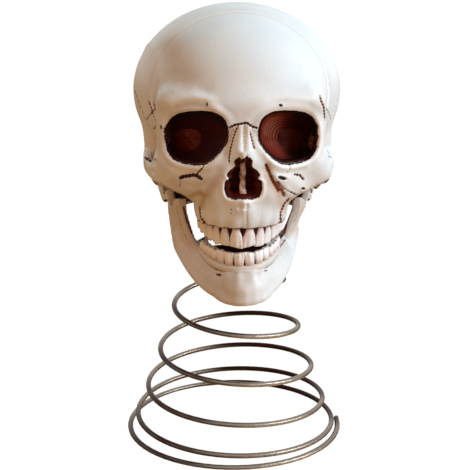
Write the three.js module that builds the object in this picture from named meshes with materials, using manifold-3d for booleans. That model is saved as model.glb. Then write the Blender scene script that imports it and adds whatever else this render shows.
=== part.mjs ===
// A skull tree topper: a moulded two-part skull with a hinged lower jaw, bolted to a conical wire
// spring that slips over the tip of the tree. Millimetres, +Z up, the face looks along -Y.
import * as THREE from "three";
import { mergeVertices } from "three/addons/utils/BufferGeometryUtils.js";
import Module from "manifold-3d";

const wasm = await Module();
wasm.setup();

// Driving sizes of the skull. Its own frame has z = 0 at the base, where the neck plug enters.
const skullWidth = 90.4;
const skullLength = 116;
const skullHeight = 87.5;
const skullWall = 2.4;
const skullBaseHeight = 104; // of the skull's base above the ground
const braincaseBlendShare = 0.2; // softness of its joins, per half width of the skull
const faceBlendShare = 0.14;
const skullBlendShare = 0.16;

// Rounded masses of the bone: middle, then half sizes, each in shares of the skull's half width,
// half length and height. Widthwise 0 is the middle, lengthwise -1 the front, upwards 0 the base.
const braincaseShares = [
  [[0, 0.155, 0.571], [1, 0.845, 0.429]],
  [[0, -0.33, 0.55], [0.79, 0.575, 0.385]],
  [[0, 0.53, 0.434], [0.72, 0.468, 0.31]],
  [[0, 0.1, 0.222], [0.74, 0.64, 0.222]],
];
const faceMassShares = [
  [[0, -0.6, 0.26], [0.5, 0.37, 0.2]],
  [[0, -0.6, 0.08], [0.42, 0.365, 0.16]],
  [[0, -0.79, 0.53], [0.2, 0.13, 0.085]],
];

// Ridges of the bone: start, end, then the radius at each, per half width. The first table lies in
// the middle, the others are on both sides.
const noseRidgeShares = [
  [[0, -0.81, 0.5], [0, -0.945, 0.37], 0.085, 0.07],
  [[0, -0.9, 0.15], [0, -0.955, 0.14], 0.06, 0.025],
];
const faceRidgeShares = [
  [[0.13, -0.825, 0.55], [0.57, -0.73, 0.595], 0.11, 0.1],
  [[0.64, -0.66, 0.57], [0.69, -0.62, 0.27], 0.09, 0.09],
  [[0.7, -0.57, 0.24], [0.42, -0.73, 0.205], 0.115, 0.11],
  [[0.6, -0.68, 0.31], [0.2, -0.83, 0.3], 0.09, 0.08],
  [[0.15, -0.82, 0.5], [0.24, -0.83, 0.2], 0.08, 0.1],
];
const templeRidgeShares = [
  [[0.69, 0.2, 0.2], [0.66, 0.16, 0.04], 0.16, 0.1],
  [[0.72, 0.34, 0.33], [0.74, -0.06, 0.33], 0.14, 0.14],
  [[0.52, 0.16, 0.035], [0.46, 0.34, 0.04], 0.115, 0.13],
];

// The cheekbone's arch, from the cheek back to the temple, with its bar per half width.
const cheekArchShares = [
  [0.67, -0.59, 0.225],
  [0.78, -0.46, 0.232],
  [0.85, -0.26, 0.246],
  [0.855, -0.06, 0.268],
  [0.78, 0.14, 0.292],
];
const cheekBarHeightShare = 0.072;
const cheekBarThicknessShare = 0.04;
const cheekBarSwellShare = 0.9; // how far the bar grows towards its ends

// Fineness of the bone's skins, and how far their columns crowd towards the face.
const boneColumnCount = 46;
const boneRowCount = 32;
const boneCrowdShare = 0.5;
const hollowColumnCount = 20;
const hollowRowCount = 14;
const hollowCrowdShare = 0.3;
const insetColumnCount = 24;
const insetRowCount = 18;
const rowCrowdShare = 0.4; // of the columns' crowding
const marchStepCount = 40;
const halvingCount = 14;
const weldDistance = 1e-4;

// Eye sockets and nose opening.
const orbitWidth = 24;
const orbitHeight = 20.5;
const orbitDepth = 25;
const orbitSpacing = 36.9; // between the two socket centres
const orbitCentreHeight = 38;
const noseWidth = 14.8;
const noseHeight = 18.4;
const noseDepth = 17;
const noseFloorHeight = 13.6;
const cupWall = 1.4;
const cupInset = 1.2; // of the cups' rims below the bone's skin
const septumThickness = 1.6;
const squareShare = 0.72; // how square the sockets are, 1 for round
const cornerCutShare = 0.17; // how far the lower inner corner is drawn in
const droopShare = 0.08; // how far the outer corner hangs, per unit of width
const inwardLeanShare = 0.22; // how far a socket's end drifts to the middle, per width
const outwardSlopeShare = 0.3; // how far its outer rim falls back, per unit of width
// A socket from in front of its rim to its end: depth, size, and drift to the middle.
const socketShares = [
  [-0.35, 1.14, 0],
  [0, 1, 0],
  [0.3, 0.96, 0.12],
  [0.62, 0.78, 0.4],
  [0.86, 0.55, 0.75],
  [1, 0.38, 1],
];
const cornerLiftShare = 0.5; // how much less that corner is raised than drawn in
const noseTopShare = 0.45; // of the nose opening's width at its top
const nosePowerShare = 0.75; // how soon it widens below
const noseSquareShare = 0.6; // how square its lobes are, 1 for round
const noseWidestShare = 0.83; // of that formula's width where it is widest
const noseBackShare = 0.85; // of its width at the back

// Teeth.
const gumHeight = 2.6; // of the upper gum edge above the skull's base
const upperToothHeight = 7.6;
const upperArchHalfWidth = 16.2;
const upperArchDepth = 26;
const upperArchFront = 52.8;
const lowerArchHalfWidth = 15.4;
const lowerArchDepth = 25;
const lowerArchFront = 51.6;
const lowerToothHeight = 5.6;
const toothThickness = 3.2;
const toothFillShare = 1.01; // of its place that a crown fills
const molarStartShare = 0.45; // of half the arch, where the teeth grow thicker and shorter
const molarThickenShare = 0.6;
const molarShortenShare = 0.5;
// Widths of the teeth from the middle to the back, as shares of half the arch's run.
const upperToothShares = [0.152, 0.132, 0.14, 0.13, 0.13, 0.17, 0.13];
const lowerToothShares = [0.128, 0.128, 0.134, 0.12, 0.12, 0.15, 0.11];
// A crown from its neck to its edge: height, width, thickness.
const crownShares = [
  [0, 0.6, 0.7],
  [0.35, 0.82, 1],
  [0.75, 1, 0.85],
  [1, 0.86, 0.5],
];
const bandHeight = 2.2; // of the band that joins the teeth inside the gum
const bandThickness = 2.2;
const bandEndShare = 0.97; // of the arch that the band follows
const palateThickness = 3;
const palateHollow = 5; // height of the vault over the tongue

// Lower jaw and its hinge.
const jawRest = 2.6; // gap between the front teeth as the jaw hangs
const jawSkewShare = 0.07; // the moulding is twisted: its rise per unit of width towards +X
const jawTiltShare = 0.12; // it hangs a little open: its rise per unit of length towards the back
const jawSwingShare = 0.05;
const swingPivotShare = 0.66;
const chinDrop = 29.4; // of the chin below the skull's base
const jawAngleDrop = 20; // of the jaw's rear corner below the skull's base
const jawThickness = 5.4;
const ramusThickness = 3.6;
const ramusWidth = 17;
const hingeHeight = 8;
const hingeBack = -4;
const hingeHalfSpan = 27.4; // from the middle to the outer face of a hinge lug
const lugThickness = 6;
const eyeRadius = 4.2; // of the lug and of the jaw's end round the pin
const pinRadius = 1;
const pinHeadRadius = 2.1;
const pinHeadThickness = 1;
const floorThickness = 1.6;
const jawCornerHalfWidth = 25;
const chinFront = 52.5;
const chinSwellShare = 0.5; // the extra thickness at the chin
const jawPinchShare = 0.12; // how far the jaw's foot is drawn in between chin and corner
const archPinchShare = 0.06; // and the rows of teeth
const chinFlareShare = 0.35; // how far the chin's foot stands forward, per thickness
const branchToeInShare = 0.48; // how far a branch's front edge leans in, per width
const branchLeanShare = 0.28; // and its lower corner, per width
const jawFloorShare = 0.8; // of the lower arch that the mouth's floor spans
const tongueShare = 0.76; // of the lower arch that the pad on it spans
const cornerForwardShare = 0.45; // of a branch's width: how far before the hinge the body ends
const cornerRiseShare = 0.6; // of a branch's width: the body's height at its ends
const chinHalfSpanShare = 0.333; // of half the jaw's run that the chin swells over
// A branch in side view, from behind the eye round to its front: each curve's guide point, then
// its end, as shares of the branch's width before the hinge and of its drop below it.
const branchOutlineShares = [
  [-0.346, 0.571, 0, 1],
  [0.247, 1.15, 1, 1.12],
  [1.074, 0.917, 1.148, 0.714],
  [0.9, 0.357, 0.9, 0.029],
  [0.654, 0.029, 0.555, 0.171],
];
const notchGuideShares = [0.346, 0.257]; // the same for the notch's rise to the eye
const toothOverlap = 0.4; // of the band with the necks of the teeth
const floorDrop = 6.2; // of the mouth's floor below the lower tooth tips
const tongueDrop = 1.8; // of the raised pad on that floor
const tongueInset = 2.7; // of the pad from the middle of the teeth
const runningGap = 0.4;
const seatGap = 0.3;

// Shell seam and its dowels.
const seamGap = 0.35;
const dowelRadius = 1.1;
const dowelLength = 9;
const bossRadius = 2.9;
const bossSinkShare = 0.55; // of its radius: how far a boss stands off the wall
const lowBossHeightShare = 0.55; // of the skull's height
// The seam in side view, from the crown down: shares of half the length and of the height.
const seamLineShares = [
  [-0.2, 1.03],
  [-0.56, 0.36],
  [-0.3, 0.3],
  [-0.3, -1],
];

// Conical spring.
const wireDiameter = 2.3;
const springBaseRadius = 48.5;
const springTurns = 7.15;
const coneTurns = 6.66; // turns from the bottom until the cone is as narrow as its clamp
const taperPowerShare = 1.4; // how the narrowing grows with the turns
const deadTurns = 0.62; // of the wire that lies flat on the ground
const climbTurns = 5.67; // live turns until the wire meets the flange
const risePowerShare = 1.48; // how the rise grows with the live turns
const endSoftness = 3; // over which the cone runs into its clamped top turn
const standingFlat = 0.5; // ground off the wire where it stands
const startAngleShare = 0; // of a turn: where the wire's lower end lies, from +X
const wireSides = 6;
const stepsPerTurn = 24;

// Neck fixing.
const clampRadius = 10.4; // of the spring's top turn
const foramenRadius = 9;
const skullSideShift = 2.1; // how far the skull stands to one side of its spring
const neckPadRadius = 17;
const neckPadHeight = 6;
const spotFaceHeight = 1.5; // of the flat under the skull that the flange meets
const flangeRadius = 15;
const flangeThickness = 2;
const plugLength = 12;
const washerRadius = 11;
const washerThickness = 1.2;
const screwRadius = 2;
const screwLength = 11;
const screwHeadRadius = 3.8;
const screwHeadHeight = 2.2;
const slotShare = 0.18; // of the head's radius: half the width of its cross
const overrun = 2; // how far a cutter runs past what it cuts

// Sides of the round pieces, and steps along the drawn-out ones.
const boreSideCount = 12;
const roundSideCount = 20;
const turnedSideCount = 32;
const crownSideCount = 8;
const bandStepCount = 20;
const jawStepCount = 24;
const floorStepCount = 14;
const cheekStepCount = 12;
const archStepCount = 200;
const nudgeShare = 0.01; // of half an arch, over which its direction is taken

const halfWidth = skullWidth / 2;
const halfLength = skullLength / 2;
const wireRadius = wireDiameter / 2;

// A closed three.js geometry as a solid that can be joined and cut.
function solid(geometry) {
  const bare = geometry.index ? geometry.clone() : geometry;
  bare.deleteAttribute("normal");
  bare.deleteAttribute("uv");
  const merged = mergeVertices(bare, weldDistance);
  return new wasm.Manifold(
    new wasm.Mesh({
      numProp: 3,
      vertProperties: new Float32Array(merged.attributes.position.array),
      triVerts: new Uint32Array(merged.index.array),
    }),
  );
}

function geometryOf(shape) {
  const mesh = shape.getMesh();
  const geometry = new THREE.BufferGeometry();
  geometry.setAttribute("position", new THREE.BufferAttribute(mesh.vertProperties, 3));
  geometry.setIndex(new THREE.BufferAttribute(mesh.triVerts, 1));
  geometry.computeVertexNormals();
  return geometry;
}

function joined(shapes) {
  return shapes.reduce((sum, shape) => sum.add(shape));
}

function cut(shape, ...cutters) {
  return cutters.reduce((left, cutter) => left.subtract(cutter), shape);
}

// The signed distances that the bone is blended from.
function ellipsoid(centre, radii) {
  return (p) => {
    const x = (p.x - centre.x) / radii.x;
    const y = (p.y - centre.y) / radii.y;
    const z = (p.z - centre.z) / radii.z;
    const near = Math.hypot(x, y, z);
    const slope = Math.hypot(x / radii.x, y / radii.y, z / radii.z);
    return slope > 0 ? (near * (near - 1)) / slope : -Math.min(radii.x, radii.y, radii.z);
  };
}

function capsule(start, end, startRadius, endRadius) {
  const along = end.clone().sub(start);
  return (p) => {
    const from = p.clone().sub(start);
    const share = THREE.MathUtils.clamp(from.dot(along) / along.lengthSq(), 0, 1);
    const radius = THREE.MathUtils.lerp(startRadius, endRadius, share);
    return from.addScaledVector(along, -share).length() - radius;
  };
}

function blended(fields, softness) {
  return (p) => {
    let nearest = Infinity;
    for (const field of fields) {
      const d = field(p);
      const mix = Math.max(softness - Math.abs(nearest - d), 0) / softness;
      nearest = Math.min(nearest, d) - (mix * mix * softness) / 4;
    }
    return nearest;
  };
}

// A place in the skull, in shares of its half width, half length and height.
function place(xShare, yShare, zShare) {
  return new THREE.Vector3(xShare * halfWidth, yShare * halfLength, zShare * skullHeight);
}

// The same fields on both sides of the skull.
function pair(make) {
  return [...make(-1), ...make(1)];
}

const boneRadius = (share) => share * halfWidth;

const mass = ([middle, sizes]) => ellipsoid(place(...middle), place(...sizes));

function ridge([start, end, startShare, endShare], side = 1) {
  const here = ([x, y, z]) => place(side * x, y, z);
  return capsule(here(start), here(end), boneRadius(startShare), boneRadius(endShare));
}

const pairedRidges = (rows) => pair((side) => rows.map((row) => ridge(row, side)));

// The braincase, the bones of the face on the front of it, and the bones below the temples.
const braincaseField = blended(braincaseShares.map(mass), boneRadius(braincaseBlendShare));
const faceField = blended(
  [
    ...faceMassShares.map(mass),
    ...noseRidgeShares.map((row) => ridge(row)),
    ...pairedRidges(faceRidgeShares),
  ],
  boneRadius(faceBlendShare),
);
const skullField = blended(
  [braincaseField, faceField, ...pairedRidges(templeRidgeShares)],
  boneRadius(skullBlendShare),
);

// The distance from a point, along a direction, to the outermost skin of a field.
function reach(field, from, direction, farthest = skullLength) {
  const at = (t) => field(from.clone().addScaledVector(direction, t));
  let outer = farthest;
  let inner = farthest;
  for (let i = marchStepCount; i >= 0; i--) {
    inner = (farthest * i) / marchStepCount;
    if (at(inner) < 0) break;
    outer = inner;
  }
  for (let i = 0; i < halvingCount; i++) {
    const middle = (inner + outer) / 2;
    if (at(middle) < 0) inner = middle;
    else outer = middle;
  }
  return (inner + outer) / 2;
}

const heart = place(0, -0.1, 0.42); // every part of the bone's skin can be seen from here

// A sphere pulled onto a field. Its columns crowd towards the face, its rows towards the eyes.
function wrapped(field, columns, rows, crowdShare) {
  const geometry = new THREE.SphereGeometry(1, columns, rows);
  const position = geometry.attributes.position;
  const turn = 2 * Math.PI;
  for (let i = 0; i < position.count; i++) {
    const column = i % (columns + 1);
    const row = Math.floor(i / (columns + 1));
    const around = ((column % columns) / columns) * turn;
    const fall = row / rows;
    const azimuth = around - crowdShare * Math.sin(around);
    const polar = Math.PI * fall + rowCrowdShare * crowdShare * Math.sin(turn * fall);
    const direction = new THREE.Vector3(
      Math.sin(polar) * Math.sin(azimuth),
      -Math.sin(polar) * Math.cos(azimuth),
      Math.cos(polar),
    );
    const skin = heart.clone().addScaledVector(direction, reach(field, heart, direction));
    position.setXYZ(i, skin.x, skin.y, skin.z);
  }
  return solid(facingOut(geometry));
}

// The same geometry with its triangles turned, if it is inside out.
function facingOut(geometry) {
  const index = geometry.index.array;
  const position = geometry.attributes.position;
  const [a, b, c] = [0, 1, 2].map(() => new THREE.Vector3());
  let volume = 0;
  for (let i = 0; i < index.length; i += 3) {
    a.fromBufferAttribute(position, index[i]);
    b.fromBufferAttribute(position, index[i + 1]);
    c.fromBufferAttribute(position, index[i + 2]);
    volume += a.dot(b.cross(c));
  }
  if (volume < 0) {
    for (let i = 0; i < index.length; i += 3) {
      [index[i + 1], index[i + 2]] = [index[i + 2], index[i + 1]];
    }
  }
  return geometry;
}

// A closed skin through stations. Each station is a function from an angle to a point.
function lofted(stations, sides) {
  const geometry = new THREE.CylinderGeometry(1, 1, 1, sides, stations.length - 1);
  const position = geometry.attributes.position;
  const wall = (sides + 1) * stations.length;
  const capMiddle = (station) => {
    const middle = new THREE.Vector3();
    for (let j = 0; j < sides; j++) middle.add(station((j / sides) * 2 * Math.PI));
    return middle.divideScalar(sides);
  };
  const put = (i, p) => position.setXYZ(i, p.x, p.y, p.z);
  for (let i = 0; i < wall; i++) {
    const station = stations[Math.floor(i / (sides + 1))];
    put(i, station(((i % (sides + 1)) % sides) * ((2 * Math.PI) / sides)));
  }
  let i = wall;
  for (const station of [stations[0], stations[stations.length - 1]]) {
    const middle = capMiddle(station);
    for (let j = 0; j < sides; j++) put(i++, middle);
    for (let j = 0; j <= sides; j++) put(i++, station((j % sides) * ((2 * Math.PI) / sides)));
  }
  return solid(facingOut(geometry));
}

function cylinder(radius, start, end, sides = roundSideCount) {
  const axis = end.clone().sub(start);
  const geometry = new THREE.CylinderGeometry(radius, radius, axis.length(), sides);
  const up = new THREE.Vector3(0, 1, 0);
  geometry.applyQuaternion(new THREE.Quaternion().setFromUnitVectors(up, axis.clone().normalize()));
  const middle = start.clone().add(end).divideScalar(2);
  geometry.translate(middle.x, middle.y, middle.z);
  return solid(geometry);
}

function box(low, high) {
  const size = high.clone().sub(low);
  const geometry = new THREE.BoxGeometry(size.x, size.y, size.z);
  geometry.translate((low.x + high.x) / 2, (low.y + high.y) / 2, (low.z + high.z) / 2);
  return solid(geometry);
}

const at = (x, y, z) => new THREE.Vector3(x, y, z);

// The rim of an eye socket: a rounded square whose lower inner corner is drawn in.
function orbitRim(side, angle, widthHere, heightHere) {
  const c = Math.cos(angle);
  const s = Math.sin(angle);
  const x = (widthHere / 2) * Math.sign(c) * Math.abs(c) ** squareShare;
  const z = (heightHere / 2) * Math.sign(s) * Math.abs(s) ** squareShare;
  const innerLowerShare = Math.max(0, -c) * Math.max(0, -s);
  return at(
    side * (x + innerLowerShare * widthHere * cornerCutShare),
    0,
    z + innerLowerShare * heightHere * cornerCutShare * cornerLiftShare - droopShare * x,
  );
}

// A socket runs back and inwards from the rim to a small flat end.
function socket(side, grow, backShift) {
  const rimFront = orbitFront(side);
  return lofted(
    socketShares.map(([depthShare, sizeShare, inwardShare], i) => (angle) => {
      const w = orbitWidth * sizeShare + 2 * grow;
      const h = orbitHeight * sizeShare + 2 * grow;
      const rim = orbitRim(side, angle, w, h);
      const backed = i === socketShares.length - 1 ? backShift : 0;
      return at(
        rim.x + side * (orbitSpacing / 2 - inwardShare * orbitWidth * inwardLeanShare),
        rimFront + depthShare * orbitDepth + backed + rim.x * side * outwardSlopeShare,
        rim.z + orbitCentreHeight,
      );
    }),
    roundSideCount,
  );
}

// The depth of the bone's skin at the height of the sockets, between rim and rim.
function orbitFront(side) {
  const ray = at(side * (orbitSpacing / 2), heart.y, orbitCentreHeight);
  return ray.y - reach(skullField, ray, at(0, -1, 0));
}

// Left and right halves of the pear-shaped nose opening.
function nosePear(angle, grow, widthShare) {
  const s = Math.sin(angle);
  const lowShare = (1 - s) / 2;
  const pearShare = noseTopShare + (1 - noseTopShare) * lowShare ** nosePowerShare;
  const w = (noseWidth / 2 / noseWidestShare) * pearShare * widthShare + grow;
  const c = Math.cos(angle);
  const x = w * Math.sign(c) * Math.abs(c) ** noseSquareShare;
  return at(x, 0, noseFloorHeight + noseHeight / 2 + (noseHeight / 2 + grow) * s);
}

function noseHole(grow, backShift) {
  const front = -halfLength - overrun;
  const back = front + noseDepth + 2 * overrun + backShift;
  const middle = (front + back) / 2;
  return lofted(
    [front, middle, back].map((y, i) => (angle) => {
      const p = nosePear(angle, grow, i === 2 ? noseBackShare : 1);
      p.y = y;
      return p;
    }),
    roundSideCount,
  );
}

// A dental arch: half an ellipse in plan, by share of its half length from the middle, -1 to 1.
function archPoint(share, archHalfWidth, depth, front, pinchShare = archPinchShare) {
  const angle = (share * Math.PI) / 2;
  const spread = Math.sin(angle) * (1 - pinchShare * Math.abs(Math.sin(2 * angle)));
  return at(archHalfWidth * spread, -front + depth * (1 - Math.cos(angle)), 0);
}

function archNormal(share, ...sizes) {
  const ahead = archPoint(share + nudgeShare, ...sizes);
  const tangent = ahead.sub(archPoint(share - nudgeShare, ...sizes));
  return at(tangent.y, -tangent.x, 0).normalize();
}

// One tooth: a rounded crown that swells from its neck and thins to its edge.
function tooth(foot, outward, width, thickness, height, up) {
  const along = at(-outward.y, outward.x, 0);
  return lofted(
    crownShares.map(([rise, widthShare, thickShare]) => (angle) => {
      const w = (width / 2) * widthShare * Math.cos(angle);
      const t = (thickness / 2) * thickShare * Math.sin(angle);
      return foot
        .clone()
        .addScaledVector(along, w)
        .addScaledVector(outward, t)
        .add(at(0, 0, up * rise * height));
    }),
    crownSideCount,
  );
}

// How far along the arch a length from its middle reaches, as a share.
function archShareAt(length, sizes) {
  let run = 0;
  for (let i = 0; i < archStepCount; i++) {
    const next = (i + 1) / archStepCount;
    run += archPoint(i / archStepCount, ...sizes).distanceTo(archPoint(next, ...sizes));
    if (run >= length) return next;
  }
  return 1;
}

function toothRow(widthShares, sizes, height, footHeight, up) {
  const [archHalfWidth, depth] = sizes;
  const run = (Math.PI / 2) * Math.sqrt((archHalfWidth ** 2 + depth ** 2) / 2);
  const row = [];
  for (const side of [-1, 1]) {
    let reached = 0;
    for (const widthShare of widthShares) {
      const width = widthShare * run;
      const middle = side * archShareAt(reached + width / 2, sizes);
      const foot = archPoint(middle, ...sizes);
      foot.z = footHeight;
      const backShare = Math.max(0, Math.abs(middle) - molarStartShare);
      row.push(
        tooth(
          foot,
          archNormal(middle, ...sizes),
          width * toothFillShare,
          toothThickness * (1 + molarThickenShare * backShare),
          height * (1 - molarShortenShare * backShare),
          up,
        ),
      );
      reached += width;
    }
  }
  return row;
}

// The band of gum that the teeth of one arch stand in.
function gumBand(sizes, low, high, thickness, endGap) {
  const endShare = bandEndShare + endGap / sizes[1];
  const stations = [];
  for (let i = 0; i <= bandStepCount; i++) {
    const share = endShare * (-1 + (2 * i) / bandStepCount);
    const middle = archPoint(share, ...sizes);
    const outward = archNormal(share, ...sizes);
    stations.push((angle) => {
      const corner = angle + Math.PI / 4;
      const across = (Math.SQRT2 * thickness * Math.cos(corner)) / 2;
      const upShare = (Math.SQRT2 * Math.sin(corner) + 1) / 2;
      return middle
        .clone()
        .addScaledVector(outward, across)
        .add(at(0, 0, low + (high - low) * upShare));
    });
  }
  return lofted(stations, 4);
}

const upperSizes = [upperArchHalfWidth, upperArchDepth, upperArchFront];
const lowerSizes = [lowerArchHalfWidth, lowerArchDepth, lowerArchFront];
const upperTip = gumHeight - seatGap - upperToothHeight;
const lowerTip = upperTip - jawRest;
const lowerGum = lowerTip - lowerToothHeight;

// The cheekbone's arch: a flat bar that springs from the cheek and runs back to the temple.
function cheekArch(side) {
  const route = new THREE.CatmullRomCurve3(
    cheekArchShares.map(([x, y, z]) => place(side * x, y, z)),
  );
  const barHeight = boneRadius(cheekBarHeightShare);
  const barThickness = boneRadius(cheekBarThicknessShare);
  const stations = [];
  for (let i = 0; i <= cheekStepCount; i++) {
    const share = i / cheekStepCount;
    const middle = route.getPoint(share);
    const tangent = route.getTangent(share);
    const across = at(tangent.y, -tangent.x, 0).normalize();
    const swell = 1 + cheekBarSwellShare * (2 * share - 1) ** 4;
    stations.push((angle) =>
      middle
        .clone()
        .addScaledVector(across, barThickness * swell * Math.cos(angle))
        .add(at(0, 0, barHeight * swell * Math.sin(angle))),
    );
  }
  return lofted(stations, crownSideCount);
}

// The face is everything in front of a broken line in side view: down the coronal seam, back under
// the temple and down behind the upper jaw.
function frontRegion(backShift) {
  const top = 2 * skullHeight;
  const outline = new THREE.Shape();
  outline.moveTo(-skullLength, -skullHeight);
  outline.lineTo(-skullLength, top);
  outline.lineTo(seamLineShares[0][0] * halfLength + backShift, top);
  for (const [yShare, zShare] of seamLineShares) {
    outline.lineTo(yShare * halfLength + backShift, zShare * skullHeight);
  }
  const geometry = new THREE.ExtrudeGeometry(outline, { depth: 2 * skullWidth, bevelEnabled: false });
  geometry.translate(0, 0, -skullWidth);
  geometry.rotateY(Math.PI / 2);
  geometry.rotateX(Math.PI / 2);
  return solid(geometry);
}

// Where the seam between the two mouldings lies at a height on the crown.
function seamAt(height) {
  const [[topY, topZ], [lowY, lowZ]] = seamLineShares;
  const share = (height / skullHeight - lowZ) / (topZ - lowZ);
  return (lowY + (topY - lowY) * share) * halfLength;
}

// Three bosses inside the wall hold the dowels that line the two mouldings up.
function dowelMiddles() {
  const sunk = skullWall + bossRadius * bossSinkShare;
  const crownY = seamAt(skullHeight);
  const crown = reach(skullField, at(0, crownY, 0), at(0, 0, 1));
  const middles = [at(0, crownY, crown - sunk)];
  for (const side of [-1, 1]) {
    const z = lowBossHeightShare * skullHeight;
    const y = seamAt(z);
    const skin = reach(skullField, at(0, y, z), at(side, 0, 0));
    middles.push(at(side * (skin - sunk), y, z));
  }
  return middles;
}

const alongY = (middle, half) => [
  middle.clone().add(at(0, -half, 0)),
  middle.clone().add(at(0, half, 0)),
];

// Hinge lugs under the temples, each a block with a round end.
function hingeLug(side) {
  const inner = side * (hingeHalfSpan - lugThickness);
  const outer = side * hingeHalfSpan;
  const round = cylinder(
    eyeRadius,
    at(inner, hingeBack, hingeHeight),
    at(outer, hingeBack, hingeHeight),
  );
  const block = box(
    at(Math.min(inner, outer), hingeBack - eyeRadius, hingeHeight),
    at(Math.max(inner, outer), hingeBack + eyeRadius, hingeHeight + 2 * eyeRadius),
  );
  return round.add(block);
}

// Room for the jaw's end beside the lug, and the bone that roofs it.
function hingeRoom(side, grow) {
  const inner = side * hingeHalfSpan;
  const outer = side * (hingeHalfSpan + ramusThickness + 2 * runningGap + 2 * grow + pinHeadRadius);
  const radius = eyeRadius + runningGap * 2 + grow;
  const start = at(inner - side * grow, hingeBack, hingeHeight);
  const round = cylinder(radius, start, at(outer, hingeBack, hingeHeight));
  const below = box(
    at(Math.min(start.x, outer), hingeBack - radius, -chinDrop),
    at(Math.max(start.x, outer), hingeBack + radius, hingeHeight),
  );
  return round.add(below);
}

function pinBore(side, radius) {
  const inner = side * (hingeHalfSpan - lugThickness - overrun);
  const outer = side * halfWidth;
  const inside = at(inner, hingeBack, hingeHeight);
  return cylinder(radius, inside, at(outer, hingeBack, hingeHeight), boreSideCount);
}

// The two mouldings of the skull.
const skin = wrapped(skullField, boneColumnCount, boneRowCount, boneCrowdShare);
const bone = joined([skin, cheekArch(-1), cheekArch(1)]);
const hollow = wrapped(
  (p) => skullField(p) + skullWall,
  hollowColumnCount,
  hollowRowCount,
  hollowCrowdShare,
);
const inset = wrapped(
  (p) => skullField(p) + cupInset,
  insetColumnCount,
  insetRowCount,
  boneCrowdShare,
);
const middles = dowelMiddles();

function faceShell() {
  const palateTop = gumHeight + bandHeight + palateThickness;
  const jawRoof = box(at(-halfWidth, -skullLength, -skullHeight), at(halfWidth, 0, palateTop));
  const openHollow = cut(hollow, jawRoof, ...middles.map(dowelBoss));
  const chewing = box(at(-halfWidth, -skullLength, -skullHeight), at(halfWidth, 0, gumHeight));
  const vault = new THREE.SphereGeometry(1, roundSideCount, boreSideCount);
  vault.scale(upperArchHalfWidth - toothThickness, upperArchDepth, palateHollow);
  vault.translate(0, upperArchDepth + toothThickness - upperArchFront, gumHeight);
  const groove = gumBand(
    upperSizes,
    gumHeight - overrun,
    gumHeight + bandHeight + seatGap,
    bandThickness + 2 * seatGap,
    seatGap,
  );
  return cut(
    bone.intersect(frontRegion(-seamGap / 2)),
    openHollow,
    chewing,
    solid(vault),
    groove,
    socket(-1, 0, 0),
    socket(1, 0, 0),
    noseHole(0, 0),
    ...middles.map(dowelBore),
  );
}

function dowelBoss(middle) {
  return cylinder(bossRadius, ...alongY(middle, dowelLength / 2 + bossRadius), roundSideCount);
}

function dowelBore(middle) {
  return cylinder(dowelRadius + seatGap, ...alongY(middle, dowelLength / 2 + seatGap), boreSideCount);
}

function backShell() {
  const neck = (height) => at(-skullSideShift, 0, height);
  const neckPad = cylinder(neckPadRadius, neck(0), neck(neckPadHeight), turnedSideCount);
  const spotFaceRadius = flangeRadius + seatGap;
  const spotFace = cylinder(spotFaceRadius, neck(-overrun), neck(spotFaceHeight), turnedSideCount);
  const foramenTop = neckPadHeight + overrun;
  const foramen = cylinder(foramenRadius, neck(-overrun), neck(foramenTop), turnedSideCount);
  const sides = [-1, 1];
  const roofs = sides.map((side) => hingeRoom(side, skullWall).intersect(bone));
  const kept = [...middles.map(dowelBoss), ...roofs, ...sides.map(hingeLug), neckPad];
  const shell = cut(bone, cut(hollow, ...kept)).subtract(frontRegion(seamGap / 2));
  return cut(
    joined([shell, ...sides.map(hingeLug)]),
    spotFace,
    foramen,
    ...sides.map((side) => hingeRoom(side, 0)),
    ...sides.map((side) => pinBore(side, pinRadius + seatGap)),
    ...middles.map(dowelBore),
  );
}

// A dark cup lines each eye socket. Its floor has a small raised disc.
function orbitCup(side) {
  const outer = socket(side, -seatGap, 0);
  const inner = socket(side, -seatGap - cupWall, -cupWall);
  return cut(outer, inner).intersect(inset);
}

// Behind the nose opening: a dark box with the septum standing in it.
function noseInsert() {
  const outer = noseHole(-seatGap, 0);
  const inner = noseHole(-seatGap - cupWall, -cupWall);
  const septum = box(
    at(-septumThickness / 2, -skullLength, noseFloorHeight),
    at(septumThickness / 2, -halfLength + noseDepth, noseFloorHeight + noseHeight),
  ).intersect(outer);
  return cut(outer, inner).add(septum).intersect(inset);
}

function teeth(widthShares, sizes, height, tip, up) {
  const gum = tip - up * height;
  const row = toothRow(widthShares, sizes, height, gum, up);
  const inward = gum - up * bandHeight;
  const band = gumBand(
    sizes,
    Math.min(gum, inward) - toothOverlap,
    Math.max(gum, inward) + toothOverlap,
    bandThickness,
    0,
  );
  return joined([band, ...row]);
}

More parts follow.
